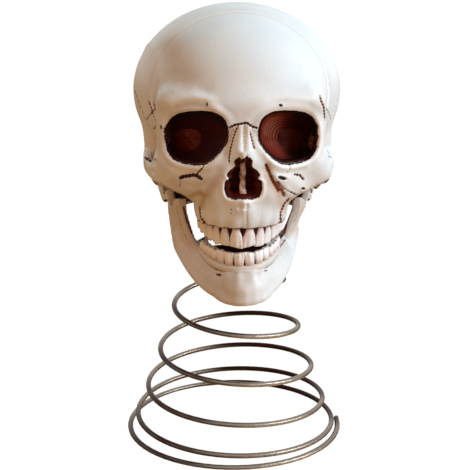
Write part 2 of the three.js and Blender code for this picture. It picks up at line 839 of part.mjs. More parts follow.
// Lower jaw: a horseshoe whose foot stands wide of the teeth that its top edge carries.
function jawBody() {
  const endY = hingeBack - ramusWidth * cornerForwardShare;
  const foot = [jawCornerHalfWidth, chinFront + endY, chinFront, jawPinchShare];
  const endTop = ramusWidth * cornerRiseShare - jawAngleDrop;
  const between = THREE.MathUtils.lerp;
  const stations = [];
  for (let i = 0; i <= jawStepCount; i++) {
    const share = -1 + (2 * i) / jawStepCount;
    const backShare = share * share;
    const topHalfWidth = between(lowerArchHalfWidth, jawCornerHalfWidth, backShare ** 3);
    const footPoint = archPoint(share, ...foot);
    const topPoint = archPoint(share, topHalfWidth, lowerArchFront + endY, lowerArchFront);
    const outward = archNormal(share, ...foot);
    const bottom = between(-chinDrop, -jawAngleDrop, backShare);
    const top = between(lowerGum, endTop, backShare ** 5);
    const middleShare = Math.max(0, 1 - (share / chinHalfSpanShare) ** 2);
    const thickness = jawThickness * (1 + chinSwellShare * middleShare);
    stations.push((angle) => {
      const c = Math.cos(angle);
      const s = Math.sin(angle);
      const across = (thickness / 2) * Math.sign(c) * Math.abs(c) ** squareShare;
      const upShare = (1 + Math.sign(s) * Math.abs(s) ** squareShare) / 2;
      const flare = chinFlareShare * thickness * (1 - upShare) * middleShare;
      return footPoint
        .clone()
        .lerp(topPoint, upShare)
        .addScaledVector(outward, across + flare)
        .setZ(between(bottom, top, upShare));
    });
  }
  return lofted(stations, boreSideCount);
}

// One flat branch: the corner, the coronoid point, the notch and the eye. Drawn in side view, it
// is then leant and turned in to meet the body.
function jawBranch(side) {
  const drop = hingeHeight + jawAngleDrop;
  const here = (forwardShare, downShare) => [
    hingeBack - forwardShare * ramusWidth,
    hingeHeight - downShare * drop,
  ];
  const outline = new THREE.Shape();
  outline.moveTo(hingeBack + eyeRadius, hingeHeight);
  for (const [guideForward, guideDown, forward, down] of branchOutlineShares) {
    outline.quadraticCurveTo(...here(guideForward, guideDown), ...here(forward, down));
  }
  outline.quadraticCurveTo(...here(...notchGuideShares), hingeBack - eyeRadius, hingeHeight);
  outline.absarc(hingeBack, hingeHeight, eyeRadius, Math.PI, 0, true);
  const geometry = new THREE.ExtrudeGeometry(outline, {
    depth: ramusThickness,
    bevelEnabled: false,
    curveSegments: crownSideCount,
  });
  geometry.rotateY(Math.PI / 2);
  geometry.rotateX(Math.PI / 2);
  const position = geometry.attributes.position;
  const inner = hingeHalfSpan + runningGap;
  for (let i = 0; i < position.count; i++) {
    const forward = Math.max(0, hingeBack - eyeRadius - position.getY(i));
    const down = Math.max(0, hingeHeight - eyeRadius - position.getZ(i));
    const toeIn = (branchToeInShare * forward) / ramusWidth;
    const lean = ramusWidth * (toeIn + (branchLeanShare * down) / drop);
    position.setX(i, side * (inner + position.getX(i) - lean));
  }
  const branch = solid(geometry);
  return side > 0 ? branch : solid(facingOut(geometryOf(branch)));
}

function jawFloor() {
  const top = lowerTip - floorDrop;
  const slab = (inset, shareHere, low, high) => {
    const outline = new THREE.Shape();
    for (let i = 0; i <= floorStepCount; i++) {
      const share = shareHere * (-1 + (2 * i) / floorStepCount);
      const p = archPoint(share, ...lowerSizes.map((size) => size - inset));
      if (i === 0) outline.moveTo(p.x, p.y);
      else outline.lineTo(p.x, p.y);
    }
    const geometry = new THREE.ExtrudeGeometry(outline, { depth: high - low, bevelEnabled: false });
    geometry.translate(0, 0, low);
    return solid(geometry);
  };
  const tongue = slab(tongueInset, tongueShare, top - floorThickness / 2, lowerTip - tongueDrop);
  return slab(0, jawFloorShare, top - floorThickness, top).add(tongue);
}

// The set of the lower jaw: it hangs open, climbs and swings towards +X, but not at its hinges.
function twisted(shape) {
  const geometry = geometryOf(shape);
  const position = geometry.attributes.position;
  const pivot = hingeBack - swingPivotShare * (chinFront + hingeBack);
  for (let i = 0; i < position.count; i++) {
    const p = new THREE.Vector3().fromBufferAttribute(position, i);
    const fullShare = THREE.MathUtils.smoothstep(hingeHeight - eyeRadius - p.z, 0, jawAngleDrop);
    const rise = jawSkewShare * p.x + jawTiltShare * (p.y + lowerArchFront);
    position.setZ(i, p.z + fullShare * rise);
    position.setX(i, p.x + fullShare * jawSwingShare * (pivot - p.y));
  }
  geometry.computeVertexNormals();
  return geometry;
}

function lowerJaw() {
  const groove = gumBand(
    lowerSizes,
    lowerGum - bandHeight - seatGap - toothOverlap,
    lowerGum + overrun,
    bandThickness + 2 * seatGap,
    seatGap,
  );
  const whole = joined([jawBody(), jawBranch(-1), jawBranch(1), jawFloor()]);
  const lugRooms = [-1, 1].map((side) =>
    cylinder(
      eyeRadius + 2 * runningGap,
      at(0, hingeBack, hingeHeight),
      at(side * (hingeHalfSpan + runningGap), hingeBack, hingeHeight),
    ),
  );
  return cut(whole, groove, ...lugRooms, ...[-1, 1].map((side) => pinBore(side, pinRadius + seatGap)));
}

function jawPin(side) {
  const inner = side * (hingeHalfSpan - lugThickness);
  const face = side * (hingeHalfSpan + 2 * runningGap + ramusThickness);
  const shoulder = at(face, hingeBack, hingeHeight);
  const shank = cylinder(pinRadius, at(inner, hingeBack, hingeHeight), shoulder, boreSideCount);
  const headEnd = at(face + side * pinHeadThickness, hingeBack, hingeHeight);
  const head = cylinder(pinHeadRadius, shoulder, headEnd);
  return shank.add(head);
}

// Turned pieces stand on the Z axis. A profile is a list of radius and height.
function turned(profile, sides) {
  const geometry = new THREE.LatheGeometry(
    profile.map(([radius, height]) => new THREE.Vector2(radius, height)),
    sides,
  );
  geometry.rotateX(Math.PI / 2);
  return solid(facingOut(geometry));
}

// Heights of the neck's stack, downwards from the flat under the skull.
const flangeTop = spotFaceHeight - seatGap;
const flangeBottom = flangeTop - flangeThickness;
const wireHeight = flangeBottom - seatGap - wireRadius;
const washerTop = wireHeight - wireRadius - seatGap;
const hubRadius = clampRadius - wireRadius - seatGap;
const screwSeat = washerTop - washerThickness - seatGap;

function neckPlug() {
  const boreTop = screwSeat + screwLength + seatGap;
  const shaftRadius = foramenRadius - seatGap;
  const top = boreTop + plugLength / 4;
  return turned(
    [
      [0, top],
      [shaftRadius - seatGap, top],
      [shaftRadius, top - seatGap],
      [shaftRadius, flangeTop],
      [flangeRadius, flangeTop],
      [flangeRadius, flangeBottom],
      [hubRadius, flangeBottom],
      [hubRadius, washerTop + seatGap],
      [screwRadius + seatGap, washerTop + seatGap],
      [screwRadius + seatGap, boreTop],
      [0, boreTop],
    ],
    turnedSideCount,
  );
}

function washer() {
  const bore = screwRadius + seatGap;
  const bottom = washerTop - washerThickness;
  return turned(
    [
      [bore, bottom],
      [washerRadius, bottom],
      [washerRadius, washerTop],
      [bore, washerTop],
      [bore, bottom],
    ],
    turnedSideCount,
  );
}

function screw() {
  const headBottom = screwSeat - screwHeadHeight;
  const blank = turned(
    [
      [0, headBottom],
      [screwHeadRadius - screwHeadHeight / 2, headBottom],
      [screwHeadRadius, headBottom + screwHeadHeight / 2],
      [screwHeadRadius, screwSeat],
      [screwRadius, screwSeat],
      [screwRadius, screwSeat + screwLength],
      [0, screwSeat + screwLength],
    ],
    roundSideCount,
  );
  const slotHalf = screwHeadRadius * slotShare;
  const slotTop = headBottom + screwHeadHeight / 2;
  const slot = (halfX, halfY) =>
    box(at(-halfX, -halfY, headBottom - overrun), at(halfX, halfY, slotTop));
  return cut(blank, slot(slotHalf, screwRadius), slot(screwRadius, slotHalf));
}

// The spring's wire, as a function of its turns from the lower end.
function softMin(a, b, softness) {
  const mix = Math.max(softness - Math.abs(a - b), 0) / softness;
  return Math.min(a, b) - (mix * mix * softness) / 4;
}

function wirePoint(turns) {
  const live = Math.max(0, turns - deadTurns);
  const narrowedShare = (turns / coneTurns) ** taperPowerShare;
  const cone = springBaseRadius - (springBaseRadius - clampRadius) * narrowedShare;
  const radius = -softMin(-cone, -clampRadius, endSoftness);
  const lowest = wireRadius - standingFlat;
  const highest = skullBaseHeight + wireHeight;
  const climb = lowest + (highest - lowest) * (live / climbTurns) ** risePowerShare;
  const height = softMin(climb, highest, endSoftness);
  const angle = (startAngleShare - turns) * 2 * Math.PI;
  return at(radius * Math.cos(angle), radius * Math.sin(angle), height);
}

// Points on the wire's centre line, with a straight run of one diameter at each end.
function wireLine() {
  const count = Math.round(springTurns * stepsPerTurn);
  const points = [];
  for (let i = 0; i <= count; i++) points.push(wirePoint((springTurns * i) / count));
  const tail = (end, next) => end.clone().addScaledVector(end.clone().sub(next).normalize(), wireDiameter);
  points.unshift(tail(points[0], points[1]));
  points.push(tail(points[count + 1], points[count]));
  return points;
}

function coneSpring() {
  const points = wireLine();
  const stations = points.map((point, i) => {
    const ahead = points[Math.min(i + 1, points.length - 1)];
    const behind = points[Math.max(i - 1, 0)];
    const tangent = ahead.clone().sub(behind).normalize();
    const outward = at(point.x, point.y, 0);
    outward.addScaledVector(tangent, -outward.dot(tangent)).normalize();
    const up = tangent.clone().cross(outward);
    return (angle) =>
      point
        .clone()
        .addScaledVector(outward, wireRadius * Math.cos(angle))
        .addScaledVector(up, wireRadius * Math.sin(angle));
  });
  const ground = box(
    at(-springBaseRadius * 2, -springBaseRadius * 2, -wireDiameter * 2),
    at(springBaseRadius * 2, springBaseRadius * 2, 0),
  );
  return lofted(stations, wireSides).subtract(ground);
}

// The least room between one turn of the wire and any other.
function leastWireGap() {
  const points = wireLine();
  const apart = Math.round(stepsPerTurn / 3);
  let least = Infinity;
  for (let i = 0; i < points.length; i++) {
    for (let j = i + apart; j < points.length; j++) {
      least = Math.min(least, points[i].distanceTo(points[j]) - wireDiameter);
    }
  }
  return least;
}

const group = new THREE.Group();
const neck = new THREE.Group();
neck.position.z = skullBaseHeight;
group.add(neck);
const skull = new THREE.Group();
skull.position.x = skullSideShift;
neck.add(skull);

const paint = (color, roughness, metalness) => ({ color, roughness, metalness });
const boneFinish = paint(0xece6d6, 0.42, 0);
const toothFinish = paint(0xf2ecdc, 0.32, 0);
const darkFinish = paint(0x2b1610, 0.35, 0);
const steelFinish = paint(0xb9bbbe, 0.22, 1);
const plugFinish = paint(0x2a2a2c, 0.5, 0);

function addPiece(parent, name, geometry, finish) {
  const mesh = new THREE.Mesh(geometry, new THREE.MeshStandardMaterial(finish));
  mesh.name = name;
  parent.add(mesh);
}

addPiece(group, "cone_spring", geometryOf(coneSpring()), steelFinish);
addPiece(neck, "neck_plug", geometryOf(neckPlug()), plugFinish);
addPiece(neck, "spring_washer", geometryOf(washer()), steelFinish);
addPiece(neck, "neck_screw", geometryOf(screw()), steelFinish);
addPiece(skull, "face_shell", geometryOf(faceShell()), boneFinish);
addPiece(skull, "back_shell", geometryOf(backShell()), boneFinish);
addPiece(
  skull,
  "upper_teeth",
  geometryOf(teeth(upperToothShares, upperSizes, upperToothHeight, upperTip, -1)),
  toothFinish,
);
addPiece(skull, "lower_jaw", twisted(lowerJaw()), boneFinish);
addPiece(
  skull,
  "lower_teeth",
  twisted(teeth(lowerToothShares, lowerSizes, lowerToothHeight, lowerTip, 1)),
  toothFinish,
);
addPiece(skull, "nose_insert", geometryOf(noseInsert()), darkFinish);
for (const [side, word] of [[-1, "right"], [1, "left"]]) {
  addPiece(skull, `${word}_eye_cup`, geometryOf(orbitCup(side)), darkFinish);
  addPiece(skull, `${word}_jaw_pin`, geometryOf(jawPin(side)), steelFinish);
}
middles.forEach((middle, i) => {
  const dowel = cylinder(dowelRadius, ...alongY(middle, dowelLength / 2), boreSideCount);
  addPiece(skull, `seam_dowel_${i + 1}`, geometryOf(dowel), boneFinish);
});

console.log(`least gap between turns of the wire: ${leastWireGap().toFixed(2)} mm`);

export default group;
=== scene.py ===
# %% [markdown]
# # A skull tree topper on its spring
#
# The real thing is a small hollow skull moulded in cream plastic, with a hinged lower jaw, wiped
# with brown paint so that every hollow looks old. It is bolted to a cone of springy steel wire
# that slips over the tip of the tree.
#
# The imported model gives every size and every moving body. This script dresses it: it keeps the
# model's places, gives the bone its fine shape and paint, and lights it for one photograph.

import math

import bmesh
import bpy
import numpy as np
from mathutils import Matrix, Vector, noise


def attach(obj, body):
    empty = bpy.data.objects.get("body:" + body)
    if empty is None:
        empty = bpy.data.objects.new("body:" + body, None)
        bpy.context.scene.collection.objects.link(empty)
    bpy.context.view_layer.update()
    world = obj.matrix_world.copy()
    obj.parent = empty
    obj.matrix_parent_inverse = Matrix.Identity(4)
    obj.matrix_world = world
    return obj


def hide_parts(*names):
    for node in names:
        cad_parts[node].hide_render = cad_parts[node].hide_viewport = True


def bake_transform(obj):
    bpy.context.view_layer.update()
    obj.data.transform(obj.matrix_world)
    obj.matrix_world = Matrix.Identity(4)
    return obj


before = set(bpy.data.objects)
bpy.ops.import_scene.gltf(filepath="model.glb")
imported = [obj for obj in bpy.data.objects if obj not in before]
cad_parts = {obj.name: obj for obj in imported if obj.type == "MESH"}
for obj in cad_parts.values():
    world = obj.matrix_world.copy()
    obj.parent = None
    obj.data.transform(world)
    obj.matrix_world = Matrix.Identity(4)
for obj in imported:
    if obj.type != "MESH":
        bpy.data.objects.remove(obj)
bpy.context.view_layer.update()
MM = 0.001  # metres in a millimetre

# %% [markdown]
# ## The camera
#
# The camera comes first because some marks on the bone are placed by where they show in the
# photograph. Its place and lens were found by matching the spring, whose rings shrink with
# distance: a focal length of 1100 pixels on an image 470 pixels wide, from nearly half a metre.

# %% Camera
image_side = 470  # pixels
focal_pixels = 1100
camera_distance = 0.475
camera_height = 0.213
camera_pitch = math.radians(14.5)  # downwards
camera_azimuth = math.radians(-2.2)
camera_shift = 0.001  # to the right of the spring's axis

camera_data = bpy.data.cameras.new("camera")
camera_data.sensor_width = 36
camera_data.lens = camera_data.sensor_width * focal_pixels / image_side
camera = bpy.data.objects.new("camera", camera_data)
bpy.context.collection.objects.link(camera)
camera.location = (
    camera_distance * math.sin(camera_azimuth) + camera_shift,
    -camera_distance * math.cos(camera_azimuth),
    camera_height,
)
camera.rotation_euler = (math.radians(90) - camera_pitch, 0, camera_azimuth)
bpy.context.scene.camera = camera

camera_place = np.array(camera.location) / MM
turn = camera.rotation_euler.to_matrix()
camera_right, camera_up, camera_back = (np.array(turn.col[i]) for i in range(3))


def photo_pixels(points):
    """Where points, in millimetres, show in the photograph, in pixels from its upper left."""
    offset = points - camera_place
    depth = -offset @ camera_back
    across = offset @ camera_right / depth
    down = -offset @ camera_up / depth
    return image_side / 2 + focal_pixels * np.column_stack([across, down])


print("the spring's axis shows at x =", photo_pixels(np.zeros((1, 3)))[0, 0].round(1))

# %% [markdown]
# ## Writing materials as sums
#
# Every finish here is worked out by nodes, with no image. Wiring them by hand hides the idea, so
# three small classes let nodes be written as a formula. `Number` wraps one socket and turns
# Python's +, -, * and ** into Math nodes. `Wiring` adds nodes to any tree, the room's too, and
# `Finish` is the wiring of one material.

# %% Numbers and wiring
class Number:
    """A value that changes over a surface. Arithmetic on it adds Math nodes."""

    def __init__(self, wiring, socket):
        self.wiring = wiring
        self.socket = socket

    def math(self, operation, first, second):
        return self.wiring.number("ShaderNodeMath", {"operation": operation}, {0: first, 1: second})

    def __add__(self, other):
        return self.math("ADD", self, other)

    def __sub__(self, other):
        return self.math("SUBTRACT", self, other)

    def __rsub__(self, other):
        return self.math("SUBTRACT", other, self)

    def __mul__(self, other):
        return self.math("MULTIPLY", self, other)

    def __pow__(self, other):
        return self.math("POWER", self, other)

    __radd__ = __add__
    __rmul__ = __mul__

    def capped(self):
        """The value, held between 0 and 1."""
        return self.wiring.number("ShaderNodeClamp", {}, {"Value": self})

    def between(self, low, high):
        """0 below low, 1 above high and a smooth step from one to the other."""
        settings = {"interpolation_type": "SMOOTHSTEP"}
        sockets = {"Value": self, "From Min": low, "From Max": high}
        return self.wiring.number("ShaderNodeMapRange", settings, sockets)


class Wiring:
    """A tree of nodes that grows by formulas."""

    def __init__(self, tree):
        self.tree = tree

    def plug(self, socket, value):
        if isinstance(value, Number):
            value = value.socket
        if isinstance(value, bpy.types.NodeSocket):
            self.tree.links.new(value, socket)
        else:
            socket.default_value = value

    def node(self, kind, settings, sockets):
        """Any node: its settings are set first, then its sockets."""
        made = self.tree.nodes.new(kind)
        for setting, value in settings.items():
            setattr(made, setting, value)
        for socket, value in sockets.items():
            self.plug(made.inputs[socket], value)
        return made

    def number(self, kind, settings, sockets, output=0):
        return Number(self, self.node(kind, settings, sockets).outputs[output])

    def shows(self, shader, output_node):
        """Makes a shader the one that the whole tree gives."""
        self.plug(self.tree.nodes[output_node].inputs["Surface"], shader.outputs[0])


class Finish(Wiring):
    """One material, built round a Principled shader."""

    def __init__(self, name, **shader_values):
        self.material = bpy.data.materials.new(name)
        self.material.use_nodes = True
        super().__init__(self.material.node_tree)
        self.shader = self.tree.nodes["Principled BSDF"]
        self.wear(**shader_values)

    def place(self):
        return self.node("ShaderNodeTexCoord", {}, {}).outputs["Object"]

    def stretched(self, x, y, z):
        """The place on the piece, with its coordinates stretched."""
        sockets = {"Vector": self.place(), "Scale": (x, y, z)}
        return self.node("ShaderNodeMapping", {}, sockets).outputs[0]

    def cloud(self, scale, detail=3, vector=None):
        """Soft noise about 0.5, with `scale` cells to the metre."""
        sockets = {"Vector": vector or self.place(), "Scale": scale, "Detail": detail}
        return self.number("ShaderNodeTexNoise", {}, sockets)

    def painted(self, name):
        """A value that was painted on the mesh's points."""
        return self.number("ShaderNodeAttribute", {"attribute_name": name}, {}, 2)

    def mix(self, first, second, share):
        """One colour over another. A Mix node's colour sockets are numbers 6 and 7."""
        made = self.node("ShaderNodeMix", {"data_type": "RGBA"}, {0: share, 6: first, 7: second})
        return made.outputs[2]

    def bump(self, height, distance, strength):
        """Fine relief of `distance` metres for the shader to light."""
        sockets = {"Height": height, "Distance": distance, "Strength": strength}
        return self.node("ShaderNodeBump", {}, sockets).outputs[0]

    def wear(self, **values):
        """Gives the shader's sockets plain values, or joins them to what changes over the skin."""
        for socket, value in values.items():
            self.plug(self.shader.inputs[socket.replace("_", " ")], value)
        return self.material


def colour(red, green, blue):
    """A colour given as it looks on a screen, 0 to 255, as the light values that nodes use."""
    straight = [(value / 255) ** 2.2 for value in (red, green, blue)]
    return (*straight, 1)


print("a mid grey of 188 is light value", round(colour(188, 188, 188)[0], 2))

# %% [markdown]
# ## Floor and light
#
# The photograph has a plain white ground, yet the skull's left and lower sides are lit a warm tan,
# as if it stood on a table of pale wood. So this floor is wood, and it lights the bone as wood
# would. The camera alone sees it glow almost white, with the object's shadow still on it. The light
# is soft and cool from the upper right and dim and warm from the left.

# %% Floor
floor_side = 12.0


def white_floor():
    finish = Finish("white_floor", Roughness=0.9)
    grain = finish.cloud(40)
    wood = finish.mix(colour(188, 150, 106), colour(174, 134, 92), grain)
    finish.wear(Base_Color=wood)
    glow = finish.node("ShaderNodeEmission", {}, {"Color": (1, 1, 1, 1), "Strength": 1.14})
    seen = finish.number("ShaderNodeLightPath", {}, {})
    sockets = {0: seen * 0.88, 1: finish.shader.outputs[0], 2: glow.outputs[0]}
    finish.shows(finish.node("ShaderNodeMixShader", {}, sockets), "Material Output")
    return finish.material


def mesh_object(name, bm, *materials):
    """An object at the origin, made from a bmesh that is then let go."""
    mesh = bpy.data.meshes.new(name)
    bm.to_mesh(mesh)
    bm.free()
    made = bpy.data.objects.new(name, mesh)
    bpy.context.collection.objects.link(made)
    for material in materials:
        mesh.materials.append(material)
    mesh.polygons.foreach_set("use_smooth", [True] * len(mesh.polygons))
    return made


bm = bmesh.new()
bmesh.ops.create_grid(bm, x_segments=1, y_segments=1, size=floor_side / 2)
floor = mesh_object("floor", bm, white_floor())
print("floor", floor_side, "m wide")

# %% World and lamps
# Where each broad wash of light comes from, and its colour.
room_washes = [
    ((-0.707, -0.707, 0), (0.92, 0.287, 0)),
    ((-1, 0, 0), (0.052, 0.086, 0.091)),
    ((0, 0, 1), (0.28, 0.5, 0.48)),
    ((0.707, 0, 0.707), (0.85, 0.95, 1.12)),
]


def soft_world():
    """White where it is seen or reflected, warm to cool from left to right where it lights."""
    world = bpy.data.worlds.new("soft_room")
    bpy.context.scene.world = world
    world.use_nodes = True
    room = Wiring(world.node_tree)
    direction = room.node("ShaderNodeTexCoord", {}, {}).outputs["Generated"]
    light = (0, 0, 0)
    for side, tint in room_washes:
        dot = {"operation": "DOT_PRODUCT"}
        facing = room.number("ShaderNodeVectorMath", dot, {0: direction, 1: side}, "Value")
        share = facing.math("MAXIMUM", facing, 0.0) ** 2.0
        add = {"operation": "MULTIPLY_ADD"}
        light = room.node("ShaderNodeVectorMath", add, {0: tint, 1: share, 2: light}).outputs[0]
    lit = room.node("ShaderNodeBackground", {}, {"Color": light, "Strength": 1.0})
    rays = room.node("ShaderNodeLightPath", {}, {}).outputs
    plain = Number(room, rays["Is Camera Ray"])
    for ray in ("Is Glossy Ray", "Is Transmission Ray"):
        plain = plain.math("MAXIMUM", plain, rays[ray])
    seen = room.tree.nodes["Background"]
    room.plug(seen.inputs["Color"], (1, 1, 1, 1))
    sockets = {0: plain, 1: lit.outputs[0], 2: seen.outputs[0]}
    room.shows(room.node("ShaderNodeMixShader", {}, sockets), "World Output")


def soft_lamp(name, place, aim, size, power, tint):
    data = bpy.data.lights.new(name, "AREA")
    data.shape = "DISK"
    data.size = size
    data.energy = power
    data.color = tint
    lamp = bpy.data.objects.new(name, data)
    bpy.context.collection.objects.link(lamp)
    lamp.location = place
    lamp.rotation_euler = (Vector(aim) - Vector(place)).to_track_quat("-Z", "Y").to_euler()


soft_world()
face_middle = (0, -0.03, 0.14)
key_place = (0.8, -0.35, 0.45)
soft_lamp("key_lamp", key_place, face_middle, size=0.4, power=5.5, tint=(0.85, 0.915, 1))
bpy.context.scene.view_settings.view_transform = "Standard"
print("one lamp and a room of", len(room_washes), "washes")

# %% [markdown]
# ## The form of the bone
#
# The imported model's skull is a coarse skin with about 46 columns. The real one is a smooth
# moulding. Both follow the same idea: rounded masses and ridges that melt into each other. Each
# mass is a distance field, which gives the distance from any point to its skin. Taking the
# smallest of them, with a soft join, gives one smooth skull. So the model's mesh is first cut
# into small even cells, then every point near the outside is drawn onto that field.

# %% Driving sizes, as in the model
half_width, half_length, skull_height = 45.2, 58.0, 87.5  # millimetres
base_height = 104.0
side_shift = 2.1  # of the skull from the spring's axis

# Shares of half the width, half the length and the height: middle, then half sizes.
braincase_shares = [
    ((0, 0.155, 0.571), (1, 0.845, 0.429)),
    ((0, -0.33, 0.55), (0.79, 0.575, 0.385)),
    ((0, 0.53, 0.434), (0.72, 0.468, 0.31)),
    ((0, 0.1, 0.222), (0.74, 0.64, 0.222)),
]
face_mass_shares = [
    ((0, -0.6, 0.26), (0.5, 0.37, 0.2)),
    ((0, -0.6, 0.08), (0.42, 0.365, 0.16)),
    ((0, -0.79, 0.53), (0.2, 0.13, 0.085)),
]
# Ridges: start, end, then the radius at each in shares of half the width.
nose_ridge_shares = [
    ((0, -0.81, 0.5), (0, -0.945, 0.37), 0.085, 0.07),
    ((0, -0.9, 0.15), (0, -0.955, 0.14), 0.06, 0.025),
]
face_ridge_shares = [
    ((0.13, -0.825, 0.55), (0.57, -0.73, 0.595), 0.11, 0.1),
    ((0.64, -0.66, 0.57), (0.69, -0.62, 0.27), 0.09, 0.09),
    ((0.7, -0.57, 0.24), (0.42, -0.73, 0.205), 0.115, 0.11),
    ((0.6, -0.68, 0.31), (0.2, -0.83, 0.3), 0.09, 0.08),
    ((0.15, -0.82, 0.5), (0.24, -0.83, 0.2), 0.08, 0.1),
]
temple_ridge_shares = [
    ((0.69, 0.2, 0.2), (0.66, 0.16, 0.04), 0.16, 0.1),
    ((0.72, 0.34, 0.33), (0.74, -0.06, 0.33), 0.14, 0.14),
    ((0.52, 0.16, 0.035), (0.46, 0.34, 0.04), 0.115, 0.13),
]
cheek_arch_shares = [
    (0.67, -0.59, 0.225),
    (0.78, -0.46, 0.232),
    (0.85, -0.26, 0.246),
    (0.855, -0.06, 0.268),
    (0.78, 0.14, 0.292),
]
skull_sizes = np.array([half_width, half_length, skull_height])
print("masses:", len(braincase_shares) + len(face_mass_shares))


# %% Distance fields
def in_skull(points):
    """Points of the model, in the skull's own frame, whose zero is the middle of its base."""
    return points - np.array([side_shift, 0, base_height])


def place_on_model(local):
    return local + (side_shift, 0, base_height)


def place(shares, side=1):
    return np.array(shares) * skull_sizes * (side, 1, 1)


def mass(points, middle, sizes):
    q = points - place(middle)
    radii = place(sizes)
    near = np.linalg.norm(q / radii, axis=1)
    slope = np.linalg.norm(q / radii**2, axis=1)
    return near * (near - 1) / np.maximum(slope, 1e-9)


def ridge(points, row, side=1):
    start, end = place(row[0], side), place(row[1], side)
    along = end - start
    share = np.clip((points - start) @ along / (along @ along), 0, 1)
    radius = half_width * (row[2] + (row[3] - row[2]) * share)
    return np.linalg.norm(points - start - share[:, None] * along, axis=1) - radius


def melted(distances, softness):
    """The nearest of several fields, with their joins rounded over."""
    nearest = distances[0]
    for distance in distances[1:]:
        mix = np.maximum(softness - np.abs(nearest - distance), 0) / softness
        nearest = np.minimum(nearest, distance) - mix * mix * softness / 4
    return nearest


middle = place((0, 0.1, 0.5))[None]
print("distance at the skull's middle:", mass(middle, *braincase_shares[0]).round(1))


# %% The cheekbones' arches
def smooth_route(knots, steps):
    """Points on a Catmull-Rom curve through the knots."""
    ends = [2 * knots[0] - knots[1], *knots, 2 * knots[-1] - knots[-2]]
    route = []
    for i in range(1, len(ends) - 2):
        a, b, c, d = ends[i - 1 : i + 3]
        for t in np.arange(steps) / steps:
            bend = 2 * b + (c - a) * t + (2 * a - 5 * b + 4 * c - d) * t**2
            route.append((bend + (3 * b - a - 3 * c + d) * t**3) / 2)
    return np.array([*route, knots[-1]])


bar_height, bar_thickness = 0.072 * half_width, 0.04 * half_width  # from its middle line
arch_route = smooth_route([place(row) for row in cheek_arch_shares], 4)


def cheek_bar(points, side):
    """A flat bar on edge that follows the arch and swells at both ends."""
    far_off = np.full(len(points), 20.0)
    close = (points[:, 0] * side > 22) & (points[:, 2] < 40)
    points = points[close]
    nearest = np.full(len(points), np.inf)
    route = arch_route * (side, 1, 1)
    for i in range(len(route) - 1):
        along = route[i + 1] - route[i]
        share = np.clip((points - route[i]) @ along / (along @ along), 0, 1)
        off = points - route[i] - share[:, None] * along
        swell = 1 + 0.9 * (2 * (i + share) / (len(route) - 1) - 1) ** 4
        tall = np.maximum(np.abs(off[:, 2]) - (bar_height - bar_thickness) * swell, 0)
        distance = np.sqrt(off[:, 0] ** 2 + off[:, 1] ** 2 + tall**2) - bar_thickness * swell
        nearest = np.minimum(nearest, distance)
    far_off[close] = nearest
    return far_off


# How far the joins are rounded over, in shares of half the width.
braincase_melt, face_melt, temple_melt, bar_melt = 0.2, 0.14, 0.16, 0.05


def bone_field(points):
    """The distance of each point from the bone's skin, less than 0 inside it."""
    braincase = [mass(points, *row) for row in braincase_shares]
    braincase = melted(braincase, braincase_melt * half_width)
    face = [mass(points, *row) for row in face_mass_shares]
    face += [ridge(points, row) for row in nose_ridge_shares]
    for side in (-1, 1):
        face += [ridge(points, row, side) for row in face_ridge_shares]
    temples = [ridge(points, row, side) for side in (-1, 1) for row in temple_ridge_shares]
    face = melted(face, face_melt * half_width)
    bone = melted([braincase, face, *temples], temple_melt * half_width)
    return melted([bone, cheek_bar(points, -1), cheek_bar(points, 1)], bar_melt * half_width)


def uphill(field, points):
    """The direction in which a field grows, which on its skin is straight outwards."""
    short_way = 0.02  # millimetres
    slope = np.empty_like(points)
    here = field(points)
    for axis in range(3):
        move = np.zeros(3)
        move[axis] = short_way
        slope[:, axis] = (field(points + move) - here) / short_way
    return slope / np.maximum(np.linalg.norm(slope, axis=1), 1e-9)[:, None]


print("arch points:", len(arch_route))

# %% [markdown]
# ## From the model's mesh to an even skin
#
# A voxel remesh rebuilds a mesh as small square cells of one size, whatever the triangles were
# before. That is what carving needs: points everywhere, about as far apart as the finest mark.
# The marks themselves are finer still, so the edges near them are cut again before they are sunk.

# %% Mesh helpers
def model_copy(node, name):
    """A new object with one model node's triangles, welded at their corners."""
    bm = bmesh.new()
    bm.from_mesh(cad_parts[node].data)
    bmesh.ops.remove_doubles(bm, verts=bm.verts, dist=1e-6)
    return mesh_object(name, bm)


def settle(piece):
    """Makes what a piece's modifiers give its own mesh."""
    graph = bpy.context.evaluated_depsgraph_get()
    fresh = bpy.data.meshes.new_from_object(piece.evaluated_get(graph))
    piece.modifiers.clear()
    piece.data = fresh


def even_cells(piece, cell):
    """The piece's mesh, rebuilt as square cells of that many millimetres."""
    remesh = piece.modifiers.new("even_cells", "REMESH")
    remesh.mode = "VOXEL"
    remesh.voxel_size = cell * MM
    settle(piece)
    piece.data.polygons.foreach_set("use_smooth", [True] * len(piece.data.polygons))


def at_points(piece, what):
    flat = np.empty(len(piece.data.vertices) * 3)
    piece.data.vertices.foreach_get(what, flat)
    return flat.reshape(-1, 3)


def points_of(piece):
    return at_points(piece, "co") / MM


def move_points(piece, points):
    piece.data.vertices.foreach_set("co", (points * MM).ravel())
    piece.data.update()


def paint_points(piece, name, values):
    attribute = piece.data.attributes.new(name, "FLOAT", "POINT")
    attribute.data.foreach_set("value", values.astype(np.float32))


def cut_finer(piece, closeness, reach):
    """Halves the edges whose middle is within reach of a mark."""
    bm = bmesh.new()
    bm.from_mesh(piece.data)
    bm.edges.ensure_lookup_table()
    flat = [c for edge in bm.edges for c in (edge.verts[0].co + edge.verts[1].co)]
    middles = np.array(flat).reshape(-1, 3) / (2 * MM)
    near = closeness(middles) < reach
    chosen = [bm.edges[i] for i in np.flatnonzero(near)]
    bmesh.ops.subdivide_edges(bm, edges=chosen, cuts=1, use_grid_fill=True)
    bm.to_mesh(piece.data)
    bm.free()


